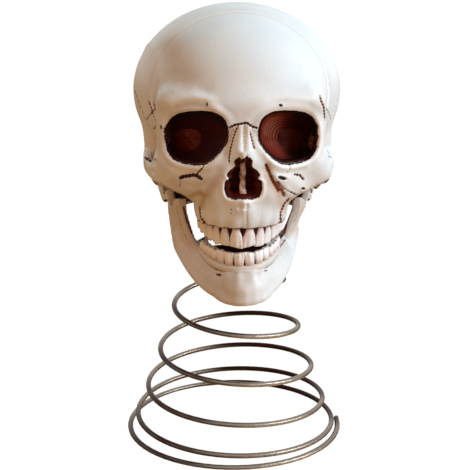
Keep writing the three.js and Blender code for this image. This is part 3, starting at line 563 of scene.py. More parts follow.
def step(values, start, end):
    """A smooth step from 0 at start to 1 at end, which may run downhill."""
    t = np.clip((values - start) / (end - start), 0, 1)
    return t * t * (3 - 2 * t)


def hump(values, middle, width):
    return np.exp(-(((values - middle) / width) ** 2))


def neighbours(piece):
    """A function that takes a value for every point and gives the mean over its neighbours."""
    edges = np.empty(len(piece.data.edges) * 2, dtype=np.int64)
    piece.data.edges.foreach_get("vertices", edges)
    first, second = edges.reshape(-1, 2).T
    size = len(piece.data.vertices)
    count = np.maximum(np.bincount(edges, minlength=size), 1)

    def mean(points):
        total = np.empty_like(points)
        for axis, column in enumerate(points.T):
            total[:, axis] = np.bincount(first, column[second], size)
            total[:, axis] += np.bincount(second, column[first], size)
        return total / count[:, None]

    return mean


def soften(piece, rounds, where=1.0):
    """Melts facets without shrinking. `where` may give each point its own share of the move."""
    points = points_of(piece)
    mean = neighbours(piece)
    pull = 0.34
    for share in (pull, -1.03 * pull) * rounds:
        points = points + share * np.reshape(where, (-1, 1)) * (mean(points) - points)
    move_points(piece, points)


def hollowness(piece):
    """How far each point lies behind the mean of its neighbours: more than 0 in a hollow."""
    points = points_of(piece)
    return ((neighbours(piece)(points) - points) * at_points(piece, "normal")).sum(1)


def onto_skin(piece):
    """Draws the points that lie close to the bone's skin onto it."""
    points = points_of(piece)
    local = in_skull(points)
    weight = step(np.abs(bone_field(local)), 0.7, 0.25)
    close = np.flatnonzero(weight > 0)
    for _ in range(2):
        part = local[close]
        local[close] -= (weight[close] * bone_field(part))[:, None] * uphill(bone_field, part)
    move_points(piece, local + (points - in_skull(points)))


print("helpers ready")

# %% [markdown]
# ## Bone plastic and old paint
#
# The plastic is cream, a little uneven and slightly glossy. Brown paint was brushed on and wiped
# off again: it stays dark in cuts, thins to a warm tan in broad hollows, and is gone from every
# raised edge, which looks nearly white. The mesh carries three painted values for this: a wash for
# dark paint, which under and behind the cheekbones is also painted shade, a stain for the thin tan,
# which on the side of the face and jaw away from the key lamp and under the cheekbones is painted
# shade, and a rubbed value for pale edges, which under the chin is a painted highlight. Noise
# frays all three.

# %% Bone finish
cream = colour(236, 237, 235)
cream_cool = colour(228, 232, 233)
rubbed_and_highlight_white = colour(249, 249, 246)
tan_stain_and_shade = colour(190, 152, 112)
thin_brown = colour(128, 66, 44)
deep_brown = colour(50, 12, 8)


def bone_finish(name):
    finish = Finish(name, Roughness=0.4, IOR=1.38)
    patches = finish.cloud(55, 4)
    grain = finish.cloud(900, 5)
    plastic = finish.mix(cream, cream_cool, patches.between(0.35, 0.7))
    # Pale rubbed edges, and under the chin a painted highlight.
    rubbed = (finish.painted("rubbed") * (0.75 + 0.5 * patches)).capped()
    plastic = finish.mix(plastic, rubbed_and_highlight_white, rubbed)
    # Thin tan stain, which on the side away from the key lamp and under the cheekbones is painted
    # shade.
    stain = finish.painted("stain") * (0.55 + 0.9 * patches) + (grain - 0.5) * 0.12
    plastic = finish.mix(plastic, tan_stain_and_shade, stain.capped() * 0.85)
    # Dark wash, which under and behind the cheekbones is also painted shade.
    wash = finish.painted("wash") + (grain - 0.5) * 0.5 + (patches - 0.5) * 0.3
    plastic = finish.mix(plastic, thin_brown, wash.between(0.22, 0.5))
    plastic = finish.mix(plastic, deep_brown, wash.between(0.42, 0.78))
    pits = finish.cloud(420, 2).between(0.3, 0.42)
    relief = patches * 0.5 + grain * 0.25 + pits * 0.25
    return finish.wear(
        Base_Color=plastic,
        Roughness=0.3 + 0.16 * grain + 0.1 * wash.capped(),
        Normal=finish.bump(relief, 0.00022, 0.5),
    )


bone_plastic = bone_finish("bone_plastic")
print("bone plastic:", len(bone_plastic.node_tree.nodes), "nodes")

# %% [markdown]
# ## Marks on the bone
#
# A moulded skull gets its life from its marks: the raised rims of the eye sockets, the joints
# between bones, the small holes for nerves. Those on the face are listed by the pixels where the
# photograph shows them, and land on whatever bone lies behind. Those on the sides and the back,
# which it doesn't show, follow the usual anatomy and are listed in millimetres.

# %% Lines and holes seen in the photograph
pixels_per_mm = 2.55  # on the face

# Pixels along each joint or groove, then its depth and half width in millimetres, and its paint.
face_lines = [
    # The joint at the root of the nose, and the two that run down from it.
    (((224, 125), (229, 128), (234, 125.3), (239, 124.3), (246.7, 122.8), (252, 126.7),
      (258, 128.4)), 0.5, 0.34, 0.92),
    (((237.8, 126.7), (235, 132.8), (232.8, 139.4), (230, 150), (228.6, 159), (229.5, 163)),
     0.4, 0.26, 0.62),
    (((249.6, 132), (251.7, 139.4), (253.6, 146), (254.6, 149)), 0.4, 0.32, 0.5),
    (((244, 125), (244.5, 133), (243.6, 140), (243.8, 150)), 0.45, 0.55, 0.12),
    # The cheekbones' joints below the sockets.
    (((204.6, 164), (203.3, 168.3), (198.9, 171.7), (195, 175)), 0.35, 0.28, 0.62),
    (((180, 181), (179.2, 188)), 0.25, 0.5, 0.3),
    (((180.6, 178), (183.3, 176.7), (188.9, 175.9), (193.3, 175.2), (196.7, 176.1),
      (200.6, 178.9)), 0.8, 0.55, 1.0),
    (((287.2, 163.5), (288.9, 167), (287.6, 172)), 0.3, 0.3, 0.35),
    (((267, 165.5), (269.4, 171.7), (273.9, 181.7), (280, 191)), 0.6, 0.75, 0.55),
    (((279, 183), (286, 190), (296, 195), (308, 197)), 0.3, 0.35, 0.4),
    (((295, 174.6), (300, 175.4), (303.4, 179.6)), 0.45, 0.4, 0.62),
    # Beside the left socket: the cheekbone's joint with the brow, and the one with its arch.
    (((156.8, 123), (154.5, 128), (152.2, 132.6), (153.2, 140), (154.4, 148)), 0.3, 0.26, 0.48),
    (((148.5, 102), (152, 111), (156.5, 123)), 0.35, 0.28, 0.55),
    (((153.6, 103), (155.4, 110.5)), 0.3, 0.26, 0.5),
    (((145.5, 157.5), (150, 160.5), (154.5, 158)), 0.6, 0.45, 1.0),
    # The edge of the temple on the other side.
    (((320.4, 96), (321.5, 101), (324, 107), (325, 115), (326.6, 123), (328, 129)),
     0.45, 0.4, 0.52),
    # Dark paint under the cheekbones, which is also painted shade.
    (((199.4, 207.5), (200.6, 217.5), (205, 223.8), (203.8, 227.5)), 0.3, 0.32, 0.6),
    (((278.5, 183), (282.5, 189), (285, 196)), 0.4, 0.8, 0.45),
    (((289, 199), (284, 205), (281, 213), (281, 222)), 0.3, 0.35, 0.5),
    # The middle line under the nose.
    (((246, 203), (246.4, 212), (246.8, 227)), 0.22, 0.5, 0.12),
]

# Middle of each hole in pixels, its half sizes in millimetres, its tilt in degrees and its depth.
face_holes = [
    ((280.8, 105.4), (0.7, 0.5), 20, 0.9),
    ((207, 104.5), (0.35, 0.8), 0, 0.45),
    ((282.6, 178.2), (1.6, 0.7), 15, 1.3),
    ((302.6, 188.3), (0.7, 0.5), 0, 0.7),
    ((161.4, 127.2), (0.5, 0.9), -15, 0.4),
    ((231.3, 209.5), (0.25, 0.25), 0, 0.2),
    ((231, 213.3), (0.25, 0.25), 0, 0.2),
    ((236.4, 2.4), (1.4, 0.8), 0, 0.6),
]

# Broad hollows and swellings: pixels along the middle, then the depth, which is less than 0 for
# a swelling, the half width and the stain, which on some is painted shade.
face_hollows = [
    (((266, 170), (272, 183), (281, 196)), 0.9, 2.2, 0.8),  # beside the nose
    (((219, 172), (214, 184), (206, 196)), 0.7, 2.6, 0.7),
    (((176, 107.5), (192, 105), (206, 107)), 0.3, 1.1, 0.5),  # between brow and socket
    (((172, 104), (182, 98), (195, 96.5), (208, 100), (217, 109)), -0.8, 2.1, 0),
    (((166, 84), (178, 82), (194, 84), (206, 90)), 0.35, 3.0, 0.3),  # above the brow
    (((266, 101), (284, 97), (304, 101)), -0.35, 2.4, 0),
    (((235, 110), (243, 113), (252, 110)), 0.25, 3, 0.25),  # above the nose's root
    (((240.6, 127), (239.6, 140), (238.4, 151)), -0.55, 1, 0),  # two nasal bones
    (((247.6, 126), (248, 140), (250, 152)), -0.6, 1, 0),
    (((231.5, 131), (228, 142), (225, 154)), 0.5, 1.3, 0.6),
    (((256, 133), (259, 144), (263, 154)), 0.3, 1, 0.1),
    (((172, 171), (184, 171), (196, 167)), -0.45, 1.6, 0),  # below the sockets
    (((272, 164), (288, 169), (306, 166)), -0.4, 1.5, 0),
    (((289, 178), (300, 186), (308, 192)), -0.45, 2, 0.12),
    # The next three are painted warm shade, as thin tan, over the left temple and down the left
    # side.
    (((170, 48), (178, 62), (181, 78)), 0, 7, 0.75),  # thin brown over the left temple
    (((158, 62), (154, 80), (157, 98)), 0, 4.5, 0.4),
    (((160, 130), (158, 150), (166, 168)), 0, 4, 0.3),
    # From here on, painted shade as tan and brown under the cheekbones, some of it in hollows.
    (((173, 182), (186, 190), (199, 196)), 0, 2.4, 0.5),  # below the left cheekbone
    (((283, 188), (279, 198), (283, 208)), 0, 2.2, 0.6),  # and the right one
    (((178, 196), (188, 198), (198, 193), (203, 197)), 0.4, 1.6, 1.0),
    (((203, 197), (201, 206)), 0.3, 1.4, 0.9),
    (((184, 184), (196, 187), (204, 183)), 0.35, 1.8, 0.4),
]
print(len(face_lines), "lines and", len(face_holes), "holes on the face")

# %% Lines on the sides, the top and the back
# Each in millimetres of the skull's frame: depth, half width, paint, then its points.
ear_line = (0.4, 0.4, 0.7, ((-17, 24), (-15, 40), (-4, 50), (12, 54), (28, 47), (38, 33), (47, 25)))
temple_line = (-0.35, 1.6, 0, ((-34, 55), (-22, 66), (0, 71), (24, 66), (40, 48)))
wing_line = (0.35, 0.35, 0.6, ((-15, 40), (-24, 44), (-30, 47)))
side_lines = [ear_line, temple_line, wing_line]
crown_line = (0.45, 0.42, 0.75, ((0, 16), (0, 42)))  # seen from above
nape_line = (0.5, 0.45, 0.8, ((0, 66), (12, 60), (25, 50), (33, 36), (36, 24)))  # from behind
nape_ridge = (-0.5, 1.8, 0, ((0, 30), (12, 31), (24, 27), (32, 18)))
nape_knob = (0, 30)
ear_hole = (8, 14)
seam_route = place(((0, -0.2, 1.03), (0, -0.56, 0.36), (0, -0.3, 0.3), (0, -0.3, -1)))[:, 1:]


def along_route(points, route):
    """For each flat point: its distance from the route, and how far along it lies."""
    nearest = np.full(len(points), np.inf)
    reached = np.zeros(len(points))
    before = 0.0
    route = np.array(route, float)
    for start, end in zip(route, route[1:]):
        run = end - start
        length = np.linalg.norm(run)
        share = np.clip((points - start) @ run / length**2, 0, 1)
        distance = np.linalg.norm(points - start - share[:, None] * run, axis=1)
        closer = distance < nearest
        nearest[closer] = distance[closer]
        reached[closer] = before + length * share[closer]
        before += length
    return nearest, reached


def fray(reached, size=1.0):
    """A wriggle for the joints between bones, in millimetres."""
    waves = ((0.5, 2.1, 0), (0.35, 4.7, 1), (0.2, 9.4, 0))  # height, pace, start
    return size * sum(tall * np.sin(pace * reached + start) for tall, pace, start in waves)


print("seam from", seam_route[0].round(1), "down to", seam_route[-1].round(1))

# %% [markdown]
# ## Walls and rims of the openings
#
# The eye sockets and the nose opening are cut into the model with formulas, and the same formulas
# are written here. Each gives one ring of an opening's wall at any depth. Where the wall comes up
# through the skin there is a rim, which is found along each line of the wall by looking for the
# depth at which the distance field is zero. The voxel mesh has small teeth along such an edge, so
# the rim found here is also what the mesh is drawn onto.

# %% Walls of the sockets
orbit_spacing, orbit_height = 36.9, 38.0
orbit_width, orbit_tall, orbit_depth = 24.0, 20.5, 25.0
orbit_square = 0.72  # 1 would be an ellipse, and less is squarer
seat_gap = 0.3  # between an opening's wall and what is pressed into it
inward_lean, outward_slope, orbit_droop, corner_cut = 0.22, 0.3, 0.08, 0.17
# Depth, size and lean towards the nose, as shares.
socket_shares = np.array([
    (-0.35, 1.14, 0), (0, 1, 0), (0.3, 0.96, 0.12), (0.62, 0.78, 0.4), (0.86, 0.55, 0.75),
    (1, 0.38, 1),
])
around = np.linspace(0, 2 * math.pi, 96, endpoint=False)


def squared(values, power):
    return np.sign(values) * np.abs(values) ** power


def socket_front(side):
    """The depth of the bone's skin at the middle of a socket."""
    steps = np.linspace(-58, -20, 761)  # every twentieth of a millimetre
    ray = steps[:, None] * (0, 1, 0) + (side * orbit_spacing / 2, 0, orbit_height)
    return steps[np.argmax(bone_field(ray) < 0)]


socket_fronts = {side: socket_front(side) for side in (-1, 1)}


def socket_ring(side, depth_share, grow, size_at=None):
    """One ring of a socket's wall. Its size may be taken from another depth."""
    size_at = depth_share if size_at is None else size_at
    size = np.interp(size_at, socket_shares[:, 0], socket_shares[:, 1])
    lean = np.interp(size_at, socket_shares[:, 0], socket_shares[:, 2])
    wide, tall = orbit_width * size + 2 * grow, orbit_tall * size + 2 * grow
    c, s = np.cos(around), np.sin(around)
    x, z = wide / 2 * squared(c, orbit_square), tall / 2 * squared(s, orbit_square)
    low = np.maximum(0, -c) * np.maximum(0, -s) * corner_cut
    x, z = x + low * wide, z + low * tall / 2 - orbit_droop * x
    return np.column_stack(
        [
            side * (x + orbit_spacing / 2 - lean * orbit_width * inward_lean),
            socket_fronts[side] + depth_share * orbit_depth + x * outward_slope,
            z + orbit_height,
        ]
    )


print("sockets start at y =", {side: round(float(y), 2) for side, y in socket_fronts.items()})

# %% Wall of the nose
nose_wide, nose_tall, nose_floor, nose_deep = 14.8, 18.4, 13.6, 17.0
nose_top, nose_power, nose_square, nose_widest, nose_back = 0.45, 0.75, 0.6, 0.83, 0.85
nose_middle = np.array([0.0, 22.8])


def nose_ring(depth, grow, scallops=0.0):
    """The pear of the nose opening at a depth behind the skull's foremost point.

    The real opening is drawn in at two heights and at its floor, so that three scallops show on
    each side. The model's is plain, and `scallops` says how much of that to add.
    """
    c, s = np.cos(around), np.sin(around)
    low = (1 - s) / 2
    narrow = 1 + (nose_back - 1) * np.clip((depth - 8) / 11, 0, 1)
    pear = nose_top + (1 - nose_top) * low**nose_power
    wide = nose_wide / 2 / nose_widest * pear * narrow + grow
    x = wide * squared(c, nose_square)
    z = nose_floor + nose_tall / 2 + (nose_tall / 2 + grow) * s
    pinch = 1.75 * hump(z, 28.0, 1.5) + 1.25 * hump(z, 23.0, 0.8)
    x = x - np.sign(c) * scallops * pinch * np.minimum(np.abs(x) / 3, 1)
    z = z + scallops * (1.5 * hump(x, 0, 5.5) * (s < 0) - 1.0 * hump(x, -0.6, 1.0) * (s > 0))
    return np.column_stack([x, np.full(len(x), depth - half_length), z])


print("nose opening", nose_wide, "by", nose_tall, "mm")


# %% Rims
shell_wall = 2.4  # thickness of the skull's mouldings


def where_inset(ring_at, inset, shares):
    """For each point round a wall, the share of its depth that lies so far under the skin."""
    depths = np.array([bone_field(ring_at(share)) for share in shares])
    return np.array([np.interp(inset, -column, shares) for column in depths.T])


def rim_radius(ring_at, inset, shares, middle):
    """An opening's radius about a middle by angle, where its wall lies that far under the skin."""
    edge = np.array([ring_at(s)[i] for i, s in enumerate(where_inset(ring_at, inset, shares))])
    offset = edge[:, [0, 2]] - middle
    angles = np.arctan2(offset[:, 1], offset[:, 0])
    order = np.argsort(angles)
    return angles[order], np.hypot(offset[:, 0], offset[:, 1])[order]


def rim_pair(ring_at, shares, middle):
    """The rim on the skin, and the wall's edge on the inner side."""
    return middle, *(rim_radius(ring_at, inset, shares, middle) for inset in (0, shell_wall))


rims = []
for side in (-1, 1):
    orbit_middle = np.array([side * orbit_spacing / 2, orbit_height])
    shares = np.linspace(-0.35, 0.6, 96)
    rims.append(rim_pair(lambda share: socket_ring(side, share, 0), shares, orbit_middle))
nose_depths = np.linspace(-1, 12, 66)
plain_nose = rim_pair(lambda depth: nose_ring(depth, 0), nose_depths, nose_middle)
rims.append(rim_pair(lambda depth: nose_ring(depth, 0, 1), nose_depths, nose_middle))


def from_rim(points, rim, under=0.0):
    """Distance outside a rim's wall, `under` the skin, and the direction from its middle."""
    middle, at_skin, at_inside = rim
    offset = points[:, [0, 2]] - middle
    angles = np.arctan2(offset[:, 1], offset[:, 0])
    outer = np.interp(angles, *at_skin, period=2 * math.pi)
    inner = np.interp(angles, *at_inside, period=2 * math.pi)
    share = np.clip(under / shell_wall, 0, 1)
    return np.hypot(offset[:, 0], offset[:, 1]) - outer - (inner - outer) * share, angles


for rim in rims:
    print("opening at", rim[0], "radius", rim[1][1].min().round(1), "to", rim[1][1].max().round(1))

# %% [markdown]
# ## The rows of teeth
#
# The teeth stand on half an ellipse, and each takes a share of its run. The bone swells over each
# root, so the same count of teeth along the arch shapes the bone above them.

# %% Dental arches
# Half width, depth, foremost point in millimetres, then the share of the run that each tooth takes.
upper_arch = (16.2, 26.0, 52.8, (0.152, 0.132, 0.14, 0.13, 0.13, 0.17, 0.13))
lower_arch = (15.4, 25.0, 51.6, (0.128, 0.128, 0.134, 0.12, 0.12, 0.15, 0.11))
arch_pinch = 0.06  # how much an arch narrows between its middle and its end


def arch_point(arch, share):
    half, depth, front, _ = arch
    angle = share * math.pi / 2
    spread = np.sin(angle) * (1 - arch_pinch * np.abs(np.sin(2 * angle)))
    return np.array([half * spread, -front + depth * (1 - np.cos(angle))])


def arch_outward(arch, share):
    """The place at a share of half an arch, and the way outwards there."""
    ahead = arch_point(arch, share + 0.01) - arch_point(arch, share - 0.01)
    return arch_point(arch, share), np.array([ahead[1], -ahead[0]]) / np.linalg.norm(ahead)


def arch_steps(arch):
    """Places along half an arch, how far along each is, and where each tooth begins."""
    half, depth, _, widths = arch
    places = arch_point(arch, np.linspace(0, 1, 201)).T
    lengths = np.concatenate([[0], np.linalg.norm(np.diff(places, axis=0), axis=1).cumsum()])
    run = math.pi / 2 * math.sqrt((half**2 + depth**2) / 2)
    return places, lengths, np.concatenate([[0], np.cumsum(widths) * run])


def arch_count(flat, arch):
    """How many teeth lie between the middle and each point: 0.5 at the first tooth's middle."""
    places, lengths, starts = arch_steps(arch)
    folded = np.column_stack([np.abs(flat[:, 0]), flat[:, 1]])
    nearest = np.full(len(flat), np.inf)
    reached = np.zeros(len(flat))
    for spot, length in zip(places[::4], lengths[::4]):
        distance = ((folded - spot) ** 2).sum(1)
        closer = distance < nearest
        nearest[closer] = distance[closer]
        reached[closer] = length
    return np.interp(reached, starts, np.arange(len(starts))) - 0.5


print("upper arch", arch_steps(upper_arch)[1][-1].round(1), "mm from the middle to its end")

# %% [markdown]
# ## Carving
#
# `Marks` gathers what every mark does to a point: how far it is raised or sunk along the skin's
# normal, and how much it gets of each paint. Where two marks meet, the thicker paint stays. The
# same functions serve both mouldings, so a joint that crosses from one to the other meets itself.

# %% Marks
out_of_reach = 50.0  # millimetres, further than any mark acts


class Marks:
    """Points on a piece's skin, and what the marks do to each of them."""

    def __init__(self, model, outward, fully):
        """`fully` is how squarely the skin must face the camera for its marks to show in full."""
        self.outward = outward
        self.local = in_skull(model)
        self.seen = photo_pixels(model)
        towards = camera_place - model
        facing = (outward * towards).sum(1) / np.linalg.norm(towards, axis=1)
        self.shown = step(facing, 0.02, fully)
        self.relief, self.wash, self.stain, self.rubbed = (np.zeros(len(model)) for _ in range(4))

    def add(self, relief=0.0, **paints):
        """Raises the skin, and paints where the new paint is thicker than the old."""
        self.relief += relief
        for name, amount in paints.items():
            setattr(self, name, np.maximum(getattr(self, name), amount))

    def sink(self, distance, depth, width, paint):
        """A painted groove with a small bank on each side."""
        bank = 0.12 * paint * hump(distance, 2.3 * width, 0.8 * width)
        brushed = np.minimum(1.25 * hump(distance, 0, 1.15 * width), 1)
        self.add(bank - depth * hump(distance, 0, width), wash=paint * brushed)


print("millimetres out of reach:", out_of_reach)


# %% Marks of the face, the sides and the back
def mark_face(marks):
    for route, depth, width, paint in face_lines:
        distance, reached = along_route(marks.seen, route)
        distance = distance / pixels_per_mm + out_of_reach * (1 - marks.shown)
        marks.sink(distance + 0.12 * np.sin(1.9 * reached), depth, width, paint)
    for middle, sizes, tilt, depth in face_holes:
        offset = (marks.seen - middle) / pixels_per_mm
        c, s = math.cos(math.radians(tilt)), math.sin(math.radians(tilt))
        round_off = np.hypot((offset @ (c, s)) / sizes[0], (offset @ (-s, c)) / sizes[1])
        hole = step(round_off, 1.25, 0.6) * marks.shown
        bank = 0.1 * hump(round_off, 1.6, 0.35) * marks.shown
        marks.add(bank - depth * hole, wash=1.1 * hole)
    for route, depth, width, paint in face_hollows:
        distance = along_route(marks.seen, route)[0] / pixels_per_mm
        shape = hump(distance, 0, width) * marks.shown
        marks.add(-depth * shape, stain=paint * shape, rubbed=-0.9 * depth * shape)


def mark_sides(marks):
    x, y, z = marks.local.T
    beside = step(np.abs(x), 0.45 * half_width, 0.6 * half_width)
    for depth, width, paint, route in side_lines:
        distance, reached = along_route(marks.local[:, 1:], route)
        away = out_of_reach * (1 - beside)
        if paint:
            marks.sink(np.abs(distance + fray(reached, 0.5)) + away, depth, width, paint)
        else:
            marks.add(-depth * hump(distance + away, 0, width))
    hole = step(np.hypot(y - ear_hole[0], z - ear_hole[1]), 2.4, 1.2) * beside
    marks.add(-1.3 * hole, wash=hole)

    reached = along_route(marks.local[:, :2], crown_line[3])[1]
    off_middle = np.abs(x + fray(reached)) + out_of_reach * (1 - step(z, 52, 62))
    past_ends = np.maximum(np.abs(y - 29) - 13, 0)
    marks.sink(np.hypot(off_middle, past_ends), *crown_line[:3])

    behind = step(y, 12, 24)
    folded = np.column_stack([np.abs(x), z])
    distance, reached = along_route(folded, nape_line[3])
    marks.sink(np.abs(distance + fray(reached)) + out_of_reach * (1 - behind), *nape_line[:3])
    depth, width, _, route = nape_ridge
    marks.add(-depth * hump(along_route(folded, route)[0], 0, width) * behind)
    marks.add(0.9 * hump(np.linalg.norm(folded - nape_knob, axis=1), 0, 4.5) * behind)


print("lines on each side:", len(side_lines))


# %% Marks of the seam
rib_pitch = 2.1  # millimetres


def mark_seam(marks, in_front):
    """The face's edge is a rubbed bead. The braincase has fine stained ribs beside it."""
    seam, reached = along_route(marks.local[:, 1:], seam_route)
    high = step(marks.local[:, 2], 24, 34)
    if in_front:
        bead, beside = 1.2 * hump(seam, 0.55, 0.5), 0.3 * hump(seam, 2.2, 0.8)
        marks.add(0.3 * hump(seam, 0.6, 0.42) * high, rubbed=bead * high, stain=beside * high)
        return
    fade = 0.5 + 0.5 * np.sin(0.21 * reached + 1)
    wave = seam + 0.5 * np.sin(0.4 * reached) + 0.3 * np.sin(0.9 * reached + 2)
    rib = np.maximum(0, np.cos(2 * math.pi * wave / rib_pitch)) ** 3 * high
    rib *= step(seam, 10, 3) * step(seam, 0.8, 1.6)
    marks.add(-0.12 * rib, stain=(0.25 + 0.35 * fade) * rib)
    marks.add(wash=0.62 * fade * hump(seam, 0.1, 0.42))


print("seam's corners:", len(seam_route))


# %% Marks of the rims
def mark_rims(marks):
    """Raised, rubbed rims, with a clean edge where the dark wash of the walls begins."""
    x, y, z = marks.local.T
    for index, rim in enumerate(rims):
        distance, angle = from_rim(marks.local, rim)
        distance = np.where(y < -25, distance, out_of_reach)
        sine = np.sin(angle)
        if index < 2:  # a socket
            outer = np.cos(angle) * (-1 if index == 0 else 1)
            low_out = step(outer, 0.1, 0.8) * step(sine, 0.8, 0.3)
            low_out = np.maximum(step(-sine, -0.1, 0.6), low_out)
            ridge_round = (0.15 + 0.55 * low_out) * hump(distance, 1.0, 1.0)
            dip = 0.3 * hump(distance, 3.2, 1.2) * step(np.abs(sine), 0.2, 0.7)
            tan = 0.45 * hump(distance, 0.6, 1.6) * step(sine, 0.2, 0.8)
            marks.add(ridge_round - dip, rubbed=1.3 * hump(distance, 0.9, 1.1) * low_out, stain=tan)
        else:  # the nose, with the small spine of bone under it
            low = step(-sine, -0.75, 0.1)
            spine = hump(x, 0.2, 1.0) * hump(z, 13.0, 1.5) * step(y, -48, -52)
            marks.add(0.55 * low * hump(distance, 0.8, 0.85))
            marks.add(rubbed=1.3 * low * hump(distance, 0.8, 1.0))
            marks.add(spine, rubbed=spine)
        ragged = 0.07 * np.sin(17 * angle) + 0.06 * np.sin(41 * angle + index)
        marks.wash *= step(distance, 0, 0.6)
        marks.add(wash=1.3 * step(distance + ragged, 0.1, -0.1))


print("rims:", len(rims))


# %% Marks of the cheeks and the upper jaw
def mark_cheeks(marks):
    """Thick dark wash under and behind the cheekbones, which is also painted shade, and tan as
    painted shade on faces below them that look down.
    """
    x, y, z = marks.local.T
    below = -marks.outward[:, 2]
    flank = step(np.abs(x), 12, 17) * step(y, -44, -34) * step(z, 26, 20)
    behind = step(np.abs(x), 32, 26) * step(y, -36, -30) * step(y, 22, 8) * step(z, 26, 17)
    # Painted shade: darker on faces that look down, and in the hollow behind each cheekbone.
    thick = np.maximum(0.85 * step(below, 0.25, 0.75) * flank, 0.7 * behind)
    marks.add(wash=thick, stain=0.8 * step(below, 0.3, 0.9) * step(z, 24, 14))


def mark_upper_jaw(marks):
    """A line of paint along the gum, and a swelling over each root."""
    x, y, z = marks.local.T
    gum = np.abs(z - 2.6) + out_of_reach * step(y, -30, -22) + 0.15 * np.sin(1.1 * x)
    roots = 0.5 + 0.5 * np.cos(2 * math.pi * arch_count(marks.local[:, :2], upper_arch))
    upper_jaw = step(z, 13, 6) * step(y, -28, -36)
    tan = 0.35 * (1 - roots) * step(z, 7, 3) * upper_jaw
    marks.add(0.4 * (roots - 0.5) * upper_jaw, wash=0.62 * hump(gum, 0, 0.75), stain=tan)


print("upper teeth on each side:", len(upper_arch[3]))


# %% The two mouldings
def closeness(points):
    """Roughly how near each point lies to the nearest fine mark."""
    local, seen = in_skull(points), photo_pixels(points)
    x, y, z = local.T
    nearest = np.full(len(points), out_of_reach)

    def reach(distance, where=True):
        np.minimum(nearest, distance, out=nearest, where=where)

    for route, *_ in face_lines:
        reach(along_route(seen, route)[0] / pixels_per_mm, y < -12)
    for middle, sizes, *_ in face_holes:
        reach(np.linalg.norm(seen - middle, axis=1) / pixels_per_mm - max(sizes), y < -12)
    for rim in rims:
        reach(np.abs(from_rim(local, rim)[0]), y < -32)
    reach(np.abs(along_route(local[:, 1:], seam_route)[0] - 0.4))
    for line in (ear_line, wing_line):
        reach(along_route(local[:, 1:], line[3])[0] - 0.3, np.abs(x) > 0.5 * half_width)
    reach(np.abs(x) - 0.5, (z > 55) & (y > -17) & (y < 43))
    reach(along_route(np.column_stack([np.abs(x), z]), nape_line[3])[0] - 0.5, y > 15)
    return nearest + 3 * step(bone_field(local), -1.2, -1.8)


def push_out(piece, local, angles, way):
    """Moves points away from an opening's middle, each along its own angle about it."""
    local += np.column_stack([np.cos(angles), 0 * angles, np.sin(angles)]) * way[:, None]
    move_points(piece, place_on_model(local))


def scallop_nose(piece):
    """Draws the model's plain nose opening in to its scalloped rim, and the skin near it along."""
    local = in_skull(points_of(piece))
    front = local[:, 1] < -40
    distance, angles = from_rim(local, plain_nose)
    target = np.interp(angles, *rims[2][1], period=2 * math.pi)
    shift = target - np.interp(angles, *plain_nose[1], period=2 * math.pi)
    shift *= step(distance, 3, 0.4) * step(distance, -3, -1) * front
    push_out(piece, local, angles, shift)


def true_walls(piece):
    """Draws the points that lie on an opening's wall onto it, so that its rim runs clean."""
    local = in_skull(points_of(piece))
    under = -bone_field(local)
    front = (local[:, 1] < -25) & (under < 3)
    for rim in rims:
        distance, angles = from_rim(local, rim, under)
        # Points on the wall lie close to it. Lost ones hang over the opening, at its rim.
        wall = front & (under > 0.3) & (np.abs(distance) < 0.75)
        lost = front & (under <= 0.3) & (distance < 0) & (distance > -1.5)
        move = np.where(wall | lost, -distance, 0)
        push_out(piece, local, angles, move)


def carved_shell(piece, in_front):
    """Smooths, cuts finer, carves and paints one moulding."""
    near_edge = np.abs(bone_field(in_skull(points_of(piece)))) < 1.6
    soften(piece, 6, near_edge)
    if in_front:
        scallop_nose(piece)
    onto_skin(piece)
    for reach in ((1.5, 0.75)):
        cut_finer(piece, closeness, reach)
    onto_skin(piece)
    if in_front:
        true_walls(piece)
    local = in_skull(points_of(piece))
    depth = bone_field(local)
    marks = Marks(place_on_model(local), uphill(bone_field, local), 0.2)
    marks.shown *= step(local[:, 1], 0, -14)
    mark_face(marks)
    mark_sides(marks)
    mark_seam(marks, in_front)
    mark_rims(marks)
    mark_cheeks(marks)
    mark_upper_jaw(marks)
    # Only the outer side is carved, and the inner side is brown all over.
    weight, inside = step(depth, -1.5, -0.5), step(depth, -0.7, -1.6)
    local += (weight * marks.relief)[:, None] * marks.outward
    move_points(piece, place_on_model(local))
    paint_points(piece, "wash", np.maximum(marks.wash * weight, 0.5 * inside))
    paint_points(piece, "stain", np.maximum(marks.stain * weight, 0.7 * inside))
    paint_points(piece, "rubbed", marks.rubbed * weight * (1 - inside))
    piece.data.materials.append(bone_plastic)
    print(piece.name, len(piece.data.polygons), "faces")


cell = 0.75  # millimetres
for node, name, size in (("face_shell", "face_bone", 1), ("back_shell", "back_bone", 1.15)):
    shell = model_copy(node, name)
    even_cells(shell, cell * size)
    carved_shell(shell, in_front=node == "face_shell")
    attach(shell, "skull")
    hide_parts(node)

# %% [markdown]
# ## Eye sockets
#
# Each socket is a separate dark cup pressed in behind the face. On the real one its wall goes back
# in rounded steps, and it ends in a small disc scored with fine lines. The shape is a loft: one
# ring of edges is extruded again and again, and each new ring is moved to its place. Bmesh gives
# the new points in no promised order, so each is found through the edge that joins it to its old
# point.

